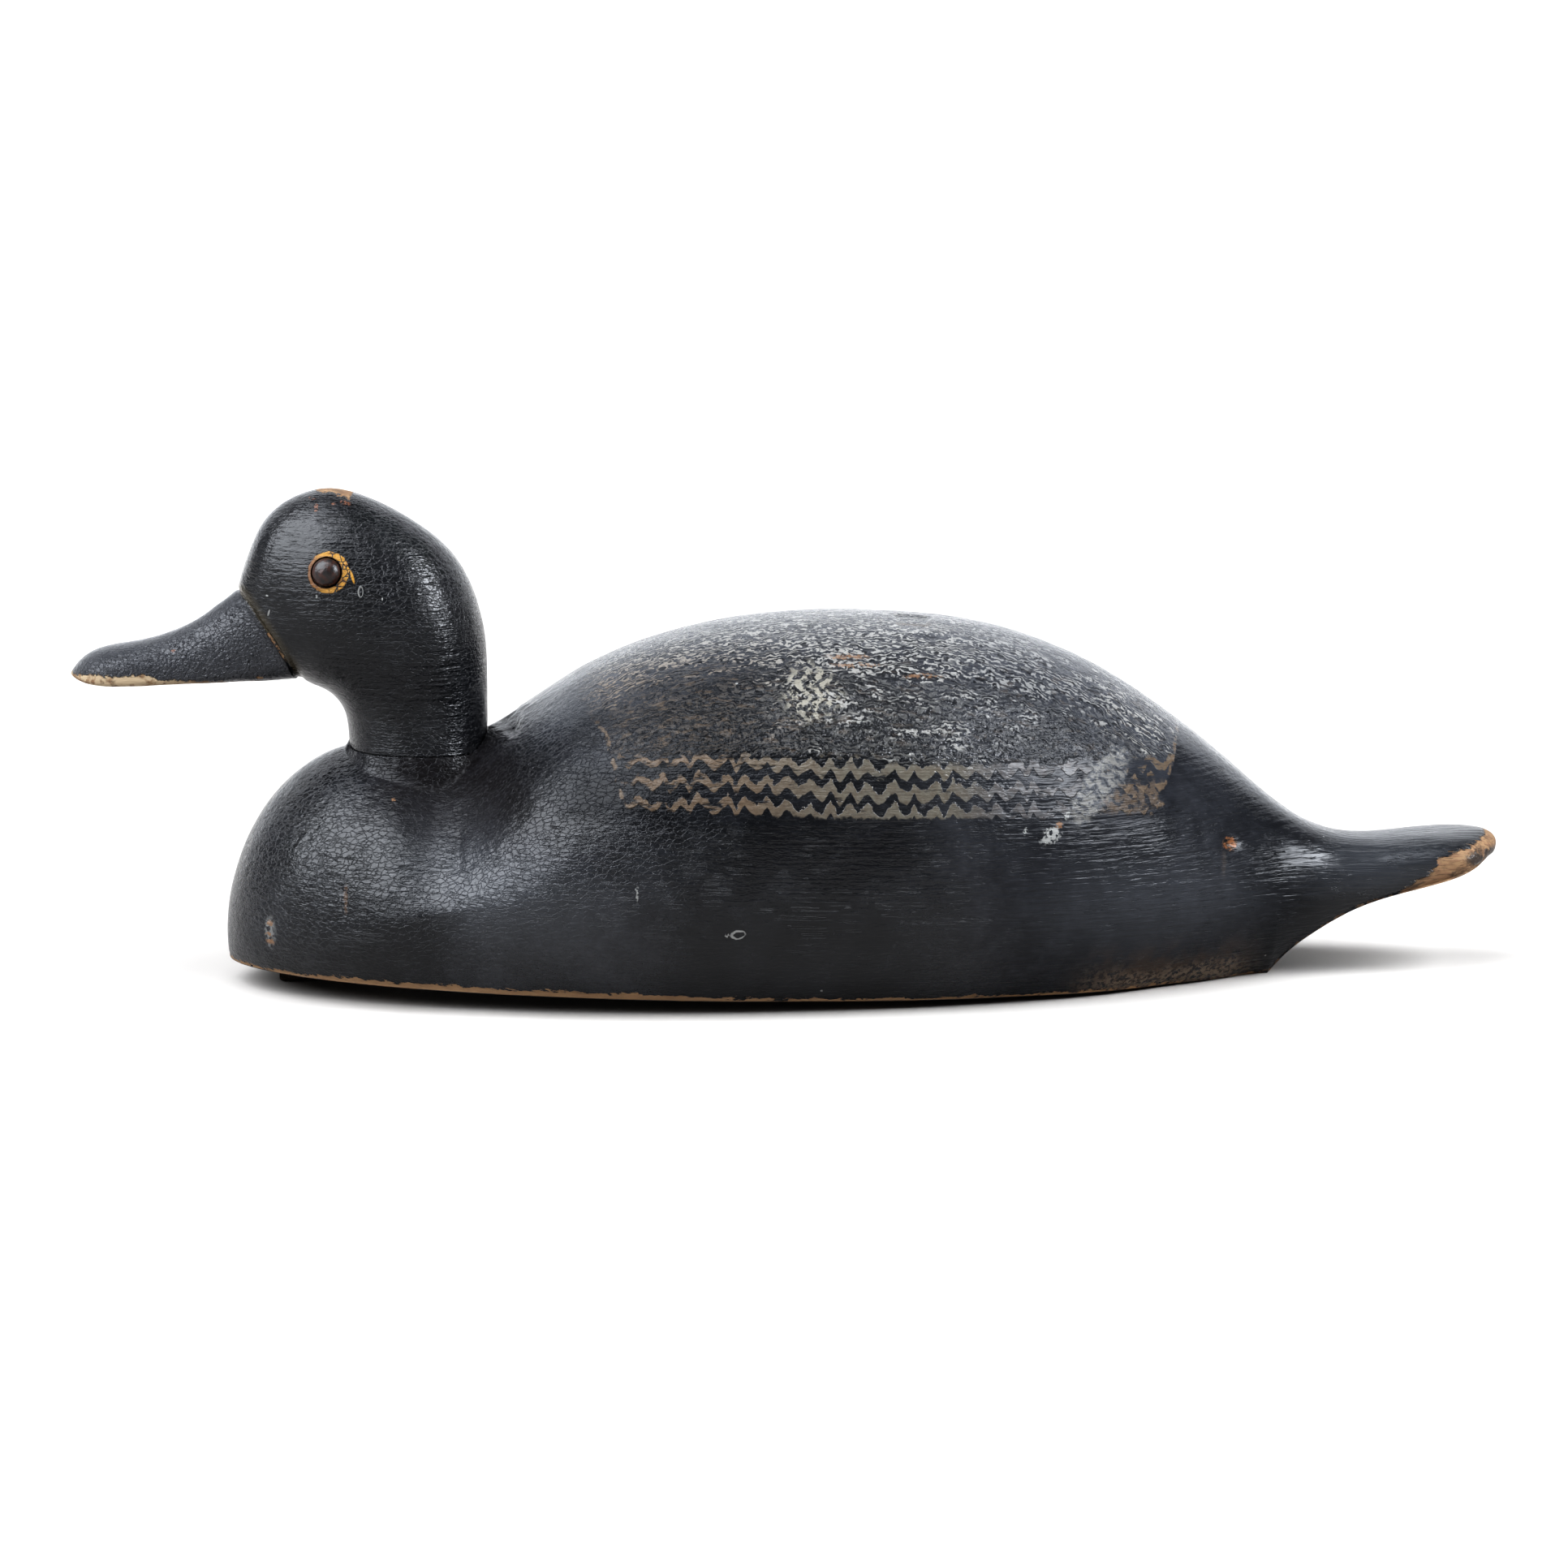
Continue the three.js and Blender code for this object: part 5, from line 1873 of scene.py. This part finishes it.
    def build(self) -> Object:
        """Makes the body, dresses it and puts it in the body's place.

        Returns:
            The body.
        """
        rings = self.rings()
        rings = rings + surface_normals(rings) * self.relief(rings)[..., None]
        rings[..., 2] = np.maximum(rings[..., 2], 0)
        piece = shown("body_carving", grid_mesh("body_carving", STANCE.placed(rings)))
        seat = prism("seat_cut", self.neck_plan(self.gap), self.seat_z - self.gap, self.seat_z + 60)
        rabbet = prism("rabbet_cut", self.plan(self.inset, self.board_stern_x), -1.0, self.board + self.gap)
        cut_away(piece, [seat, self.hollow(), rabbet])
        keep_in_box(piece.data, "body")
        self.values(piece.data)
        return dressed(piece, "body", BodyPaint().build(), 50)


@dataclass
class BottomBoard:
    """The thin board that closes the hollow, its arrises slightly rounded."""

    block: BodyBlock
    round: float = 0.8

    def build(self) -> Object:
        """Makes the board.

        Returns:
            The board.
        """
        block = self.block
        outline = block.plan(block.inset + block.gap, block.board_stern_x - block.gap)
        piece = prism("board_plank", outline, 0.0, block.board)
        with opened(piece.data) as work:
            bmesh.ops.dissolve_limit(work, angle_limit=math.radians(1), verts=work.verts, edges=work.edges)
            rim = [e for e in work.edges if e.calc_face_angle(0) > math.radians(60)]
            bmesh.ops.bevel(work, geom=rim, offset=self.round * MM, segments=2, affect="EDGES")
            bmesh.ops.triangulate(work, faces=work.faces)
        return dressed(piece, "bottom_board", BoardPaint().build(), 30)


@dataclass
class HeadBlank:
    """Head, neck and bill, carved from one piece."""

    rings_along: int = 300
    columns: int = 118
    waves: Waves = ((0.14, 17.0, 11), (0.06, 6.0, 12), (0.03, 2.5, 13))
    groove: Pair = (0.45, 0.55)
    bill_step: float = 0.35
    eye: Pair = (-122.7, 106.0)
    socket: Pair = (4.2, 1.9)
    bill_path: Outline = (
        (-149.5, 100.5), (-146.8, 98.7), (-143.8, 96.2), (-141.6, 93.2), (-138.7, 89.2), (-136.6, 86.3),
        (-134.4, 82.8), (-132.4, 79.9), (-130.8, 76.5), (-129.5, 73.0),
    )
    stations: tuple[tuple[Pair, Pair, float, float, Pair], ...] = (
        ((-80.6, 57.6), (-117.1, 57.6), 21.5, 0.5, (2.3, 2.3)),
        ((-80.6, 66), (-118.0, 65.0), 20.8, 0.5, (2.2, 2.2)),
        ((-80.8, 77), (-120.0, 69.2), 21.6, 0.51, (2.1, 2.1)),
        ((-82.2, 91), (-122.2, 71.4), 23.4, 0.5, (2.1, 2)),
        ((-88.9, 107), (-124.0, 72.5), 24.5, 0.48, (2.1, 2)),
        ((-101.5, 117.9), (-125.4, 73.1), 24.2, 0.45, (2.1, 2)),
        ((-118, 125.0), (-126.6, 73.5), 22.7, 0.42, (2.1, 2)),
        ((-130.5, 124.2), (-127.7, 74.0), 20.5, 0.41, (2.1, 2)),
        ((-139.7, 117.5), (-128.7, 74.6), 18, 0.41, (2.1, 2)),
        ((-144.6, 107), (-129.6, 75.4), 15.6, 0.42, (2.2, 2.2)),
        ((-146.9, 99.6), (-130.6, 75.2), 13.6, 0.38, (2.4, 3)),
        ((-148.2, 98.0), (-133.2, 75.0), 12.4, 0.34, (2.4, 3.4)),
        ((-155.2, 92.2), (-145, 74.5), 11.4, 0.28, (2.2, 3.8)),
        ((-163.5, 87.5), (-157, 73.9), 11.2, 0.25, (2.2, 4)),
        ((-172.5, 84.6), (-169.5, 73.3), 11.9, 0.25, (2.2, 4)),
        ((-180.5, 83.1), (-179, 72.9), 12.2, 0.25, (2.2, 4)),
        ((-186.7, 80.7), (-186.2, 73.2), 9.4, 0.28, (2.1, 3)),
        ((-190.2, 77.3), (-190.0, 74.3), 4.2, 0.35, (2, 2)),
        ((-191.2, 75.4), (-191.2, 75.4), 0, 0.4, (2, 2)),
    )
    bare_bill: Outline = (
        (-195.0, 76.0), (-188.7, 76.0), (-185.2, 76.6), (-179.5, 76.3), (-173.1, 76.6), (-171.0, 77.0),
        (-166.6, 75.6), (-150.4, 75.0), (-133.0, 75.2), (-133.0, 60.0), (-195.0, 60.0),
    )
    bare_crown: Outline = (
        (-126.4, 125.2), (-122.0, 125.1), (-119.8, 124.4), (-117.4, 123.7), (-116.8, 124.8), (-116.8, 130.0),
        (-127.0, 130.0),
    )

    def __post_init__(self) -> None:
        """Lays down the head's lines."""
        names = ("back_x", "back_z", "throat_x", "throat_z", "half", "wide", "full_back", "full_throat")
        rows = ((*back, *throat, half, wide, *full) for back, throat, half, wide, full in self.stations)
        self.lines = {name: FairLine(list(enumerate(sizes))) for name, sizes in zip(names, zip(*rows))}

    def skin(self, s: Array, u: Array) -> Array:
        """Points on the head.

        Args:
            s: Place along it, counted in stations.
            u: Place round it, 0..2 from the back edge to the throat edge.

        Returns:
            The points of the right side.
        """
        line = {name: values(s) for name, values in self.lines.items()}
        upper = u <= 1
        power = 2 / np.where(upper, line["full_back"], line["full_throat"])
        turn = QUARTER * np.where(upper, u, 2 - u)
        out = np.maximum(np.sin(turn), 0) ** power
        along = np.where(u == 1, 0, np.maximum(np.cos(turn), 0)) ** power
        t = np.where(upper, lerp(line["wide"], 1, along), lerp(line["wide"], 0, along))
        x = lerp(line["throat_x"], line["back_x"], t)
        y = np.maximum(line["half"], 0) * np.where((u == 0) | (u == 2), 0, out)
        z = lerp(line["throat_z"], line["back_z"], t)
        return np.stack([x, y, z], axis=-1)

    def rings(self) -> Array:
        """Lays out the whole surface, from the seat to the bill's tip.

        Returns:
            Closed rings of points in the level frame.
        """
        last = len(self.stations) - 1
        fine = np.linspace(0, last, 1500)
        path = [self.skin(fine, np.full(len(fine), u)) for u in (0.0, 1.0, 2.0)]
        s = evenly(np.concatenate(path, axis=1), fine, self.rings_along)
        around = np.linspace(0, 2, 600)
        rows = []
        for at in s:
            samples = self.skin(np.full(len(around), at), around)
            u = evenly(samples, around, self.columns) if at < last else np.linspace(0, 2, self.columns)
            u[0], u[-1] = 0, 2
            rows.append(self.skin(np.full(self.columns, at), u))
        half = np.array(rows)
        seat = half[:1] * (1, 0, 1)
        half = np.concatenate([seat, half])
        return np.concatenate([half, half[:, -2:0:-1] * (1, -1, 1)], axis=1)

    def bill_distance(self, points: Array) -> Array:
        """Distance from the line between bill and face in side view.

        Args:
            points: Points of the level frame.

        Returns:
            The distance of each point, positive on the face.
        """
        flat = points[..., [0, 2]]
        corners = np.array(self.bill_path)
        best = np.full(flat.shape[:-1], np.inf)
        for a, b in zip(corners[:-1], corners[1:]):
            best = np.minimum(best, segment_distance(flat, a, b))
        at = np.interp(points[..., 2], corners[::-1, 1], corners[::-1, 0])
        return best * np.sign(points[..., 0] - at)

    def relief(self, points: Array) -> Array:
        """How far the carved and worn surface stands off the fair one.

        Args:
            points: Points of the fair surface.

        Returns:
            The height at each point, in millimetres.
        """
        lift = waviness(points, self.waves)
        seam = self.bill_distance(points)
        depth, width = self.groove
        lift -= depth * np.exp(-(seam / width) ** 2)
        lift -= self.bill_step * ease(seam, 0.3, -0.3) * ease(seam, -9.0, -1.0)
        return lift

    def eye_seat(self) -> tuple[Array, Array]:
        """Finds the eye on the right side by trying places on a fine grid.

        Returns:
            Where it stands, and which way the head faces there.
        """
        fine, finer = 0.02, 0.01
        s, u = np.meshgrid(np.arange(4, 9, fine), np.arange(0.2, 1.4, finer), indexing="ij")
        s, u = s.ravel(), u.ravel()
        points = self.skin(s, u)
        i = int(np.argmin(np.hypot(points[:, 0] - self.eye[0], points[:, 2] - self.eye[1])))
        at = points[i]
        along = self.skin(s[i:i + 1] + fine, u[i:i + 1])[0] - at
        around = self.skin(s[i:i + 1], u[i:i + 1] + finer)[0] - at
        normal = np.cross(along, around)
        normal /= np.linalg.norm(normal)
        return at, normal * np.sign(normal[1])

    def eye_frame(self, side: Side) -> tuple[Array, Matrix]:
        """Where an eye stands on a side, and the turn that makes something upright stand out there."""
        at, normal = (value * (1, side.value, 1) for value in self.eye_seat())
        return at, Vector(normal).to_track_quat("Z", "Y").to_matrix()

    def socket_cut(self, side: Side) -> Object:
        """The drilled socket of one eye.

        Args:
            side: Which side of the head it is on.

        Returns:
            A solid to cut away.
        """
        radius, depth = self.socket
        sizes = {"radius1": radius, "radius2": radius, "depth": 4 * depth}
        at, facing = self.eye_frame(side)
        place = Matrix.Translation(at) @ facing.to_4x4() @ Matrix.Translation((0, 0, depth))
        mesh = bpy.data.meshes.new("socket_cut")
        with opened(mesh) as work:
            bmesh.ops.create_cone(work, cap_ends=True, cap_tris=True, segments=64, **sizes)
            work.transform(STANCE.matrix() @ place)
        return shown("socket_cut", mesh)

    def build(self) -> Object:
        """Makes the head, dresses it and puts it in the head's place.

        Returns:
            The head.
        """
        rings = self.rings()
        fade = np.ones(rings.shape[:2])
        fade[[0, 1, -1]] = 0
        rings = rings + surface_normals(rings) * (self.relief(rings) * fade)[..., None]
        piece = shown("head_carving", grid_mesh("head_carving", STANCE.placed(rings)))
        cut_away(piece, [self.socket_cut(side) for side in Side])
        keep_in_box(piece.data, "head")
        points = vertex_points(piece.data)
        flat = points[:, [0, 2]]
        set_values(piece.data, "bill_line", self.bill_distance(points))
        set_values(piece.data, "bill_edge", outline_distance(flat, self.bare_bill))
        set_values(piece.data, "crown", outline_distance(flat, self.bare_crown))
        paint = HeadPaint(*map(tuple, self.eye_seat()))
        return dressed(piece, "head", paint.build(), 55)


@dataclass
class TackEye:
    """The domed head of a tack, lacquered dark brown."""

    head: HeadBlank
    radius: float = 3.75
    rise: float = 2.7
    depth: float = 1.6
    foot: Pair = (0.9, 0.8)
    around: int = 72
    steps: int = 22

    def build(self, side: Side, lacquer: Material) -> Object:
        """Makes one eye.

        Args:
            side: Which side of the head it is on.
            lacquer: Its finish.

        Returns:
            The eye.
        """
        turn = np.linspace(0, QUARTER, self.steps)
        narrow, low = self.foot
        profile = [(0.0, -self.depth), (self.radius * narrow, -self.depth), (self.radius, -self.depth * low)]
        profile += [(self.radius * math.cos(t), self.rise * math.sin(t)) for t in turn[:-1]]
        profile.append((0.0, self.rise))
        around = np.linspace(0, 2 * math.pi, self.around, endpoint=False)
        circle = np.c_[np.cos(around), np.sin(around), np.zeros(self.around)]
        rings = np.array([circle * radius + (0, 0, height) for radius, height in profile])
        at, facing = self.head.eye_frame(side)
        points = rings @ np.array(facing).T + at
        node = "eye_" + side.name.lower()
        piece = shown(node + "_dome", grid_mesh(node + "_dome", STANCE.placed(points)))
        return dressed(piece, node, lacquer, 60)


@dataclass
class LineTie:
    """The folded leather tab under the breast, on which the anchor line was tied."""

    front: float = -135.5
    back: float = -112.5
    half_width: float = 7.5
    steps: int = 28
    around: int = 48
    nose: float = 2.0
    squareness: Pair = (0.25, 0.35)
    seam: Pair = (0.1, 0.25)

    def build(self) -> Object:
        """Makes the tie: two layers of leather pressed together, rounded at the fold.

        Returns:
            The tie.
        """
        slope = math.tan(STANCE.nose_up)
        around = np.linspace(0, 2 * math.pi, self.around, endpoint=False)
        cos, sin = np.cos(around), np.sin(around)
        side, over = self.squareness
        y = self.half_width * np.sign(cos) * np.abs(cos) ** side
        lift = np.sign(sin) * np.abs(sin) ** over
        depth, width = self.seam
        seam = 1 - depth * np.exp(-(lift / width) ** 2)
        rows = []
        for x in np.linspace(self.front, self.back, self.steps):
            top = (STANCE.heel_x - x) * slope - 0.3
            reach = np.clip((x - self.front + 0.75) / self.nose, 0, 1)
            fold = math.sqrt(max(1 - (1 - reach) ** 2, 0.02))
            z = top / 2 + lift * (top / 2) * fold
            rows.append(np.c_[np.full(self.around, x), y * seam, np.clip(z, 0, top)])
        rings = np.array(rows)
        middle = rings.mean(axis=1, keepdims=True) * (1, 0, 1)
        ends = [np.broadcast_to(middle[i], rings[0].shape) for i in (0, -1)]
        rings = np.concatenate([ends[0][None], rings, ends[1][None]])
        rings[..., 0] += STANCE.centring
        piece = shown("tie_tab", grid_mesh("tie_tab", rings * MM))
        keep_in_box(piece.data, "line_tie")
        return dressed(piece, "line_tie", OldLeather().build(), 50)


# The studio.


@dataclass
class Studio:
    """The photographer's table: a wide pale floor, soft boxes round it and a sky, brighter low down."""

    sky: float = 0.25
    tint: Triple = (0.93, 0.965, 1.02)
    horizon: float = 0.8
    low_sky: Pair = (0.06, 0.12)
    aim_height: float = 0.05
    half_width: float = 20.0
    boxes: tuple[tuple[str, Triple, Pair, float], ...] = (
        ("box_left", (-67.0, 43.0, 1.4), (1.5, 1.3), 7.2),
        ("box_right", (68.0, 36.0, 0.82), (0.31, 0.5), 21.0),
        ("box_top", (-40.0, 76.0, 1.6), (1.0, 0.7), 6.0),
        ("box_back", (180.0, 24.0, 2.2), (4.6, 1.9), 1.0),
    )

    def floor(self) -> Object:
        """Lays the floor.

        Returns:
            The floor.
        """
        far = self.half_width
        mesh = bpy.data.meshes.new("floor")
        corners = [(-far, -far, 0), (far, -far, 0), (far, far, 0), (-far, far, 0)]
        mesh.from_pydata(corners, [], [(0, 1, 2, 3)])
        mesh.materials.append(StudioPaper().build())
        made = shown("floor", mesh)
        return made

    def soft_sky(self) -> bpy.types.World:
        """Makes the sky, an even grey that grows lighter in the last few degrees above the floor.

        Returns:
            The sky.
        """
        world = bpy.data.worlds.new("soft_sky")
        world.use_nodes = True
        nodes, links = world.node_tree.nodes, world.node_tree.links
        where = nodes.new("ShaderNodeTexCoord")
        parts = nodes.new("ShaderNodeSeparateXYZ")
        level = nodes.new("ShaderNodeMapRange")
        limits = (*self.low_sky, self.horizon, self.sky)
        for name, value in zip(("From Min", "From Max", "To Min", "To Max"), limits):
            level.inputs[name].default_value = value
        links.new(where.outputs["Generated"], parts.inputs[0])
        links.new(parts.outputs["Z"], level.inputs["Value"])
        background = nodes["Background"]
        background.inputs["Color"].default_value = (1.0, 1.0, 1.0, 1.0)
        links.new(level.outputs[0], background.inputs["Strength"])
        return world

    def soft_box(
        self, name: str, azimuth: float, elevation: float, distance: float, size: Pair, glow: float
    ) -> Object:
        """Hangs one soft box, aimed at the decoy.

        Args:
            name: The light's name.
            azimuth: Its direction in degrees, 0 toward the front and 90 toward the tail.
            elevation: Its height above the floor in degrees.
            distance: How far off it hangs, in metres.
            size: Its width and height in metres.
            glow: Its brightness, 1 being white.

        Returns:
            The light.
        """
        light = bpy.data.lights.new(name, "AREA")
        light.shape = "RECTANGLE"
        light.size, light.size_y = size
        light.energy = glow * math.pi * size[0] * size[1]
        light.color = self.tint
        made = bpy.data.objects.new(name, light)
        made.visible_camera = False
        bpy.context.scene.collection.objects.link(made)
        turn, lift = math.radians(azimuth), math.radians(elevation)
        toward = Vector((math.sin(turn) * math.cos(lift), -math.cos(turn) * math.cos(lift), math.sin(lift)))
        made.location = Vector((0, 0, self.aim_height)) + toward * distance
        made.rotation_euler = (-toward).to_track_quat("-Z", "Y").to_euler()
        return made

    def build(self) -> None:
        """Sets up the whole studio."""
        bpy.context.scene.world = self.soft_sky()
        self.floor()
        for name, (azimuth, elevation, distance), size, glow in self.boxes:
            self.soft_box(name, azimuth, elevation, distance, size, glow)
        bpy.context.scene.view_settings.view_transform = "Standard"
        bpy.context.scene.view_settings.look = "High Contrast"
        log.info("studio set up")


@dataclass
class Viewpoint:
    """The camera at the photograph's viewing angle."""

    aim: Triple = (-0.0012, 0.0, 0.051)
    distance: float = 1.5
    elevation: float = 9.5
    azimuth: float = -2.0
    roll: float = 0.3
    span: float = 0.4196
    sensor: float = 36.0

    def build(self) -> Object:
        """Makes the camera.

        Returns:
            The camera.
        """
        turn = Matrix.Rotation(math.radians(self.azimuth), 3, "Z")
        lift = math.radians(self.elevation)
        look = turn @ Vector((0, math.cos(lift), -math.sin(lift)))
        right = turn @ Vector((1, 0, 0))
        up = turn @ Vector((0, math.sin(lift), math.cos(lift)))
        roll = math.radians(self.roll)
        side = right * math.cos(roll) - up * math.sin(roll)
        top = up * math.cos(roll) + right * math.sin(roll)
        data = bpy.data.cameras.new("viewpoint")
        data.sensor_width = self.sensor
        data.lens = self.sensor * self.distance / self.span
        made = bpy.data.objects.new("viewpoint", data)
        bpy.context.scene.collection.objects.link(made)
        axes = Matrix((side, top, -look)).transposed().to_4x4()
        made.matrix_world = Matrix.Translation(Vector(self.aim) - look * self.distance) @ axes
        bpy.context.scene.camera = made
        return made


def main() -> None:
    """Builds the camera, the decoy's pieces in order and the studio."""
    logging.basicConfig(level=logging.INFO, format="%(name)s: %(message)s")
    Viewpoint().build()
    block = BodyBlock()
    block.build()
    BottomBoard(block).build()
    head = HeadBlank()
    head.build()
    lacquer = TackLacquer().build()
    for side in Side:
        TackEye(head).build(side, lacquer)
    LineTie().build()
    Studio().build()


if __name__ == "__main__":
    main()
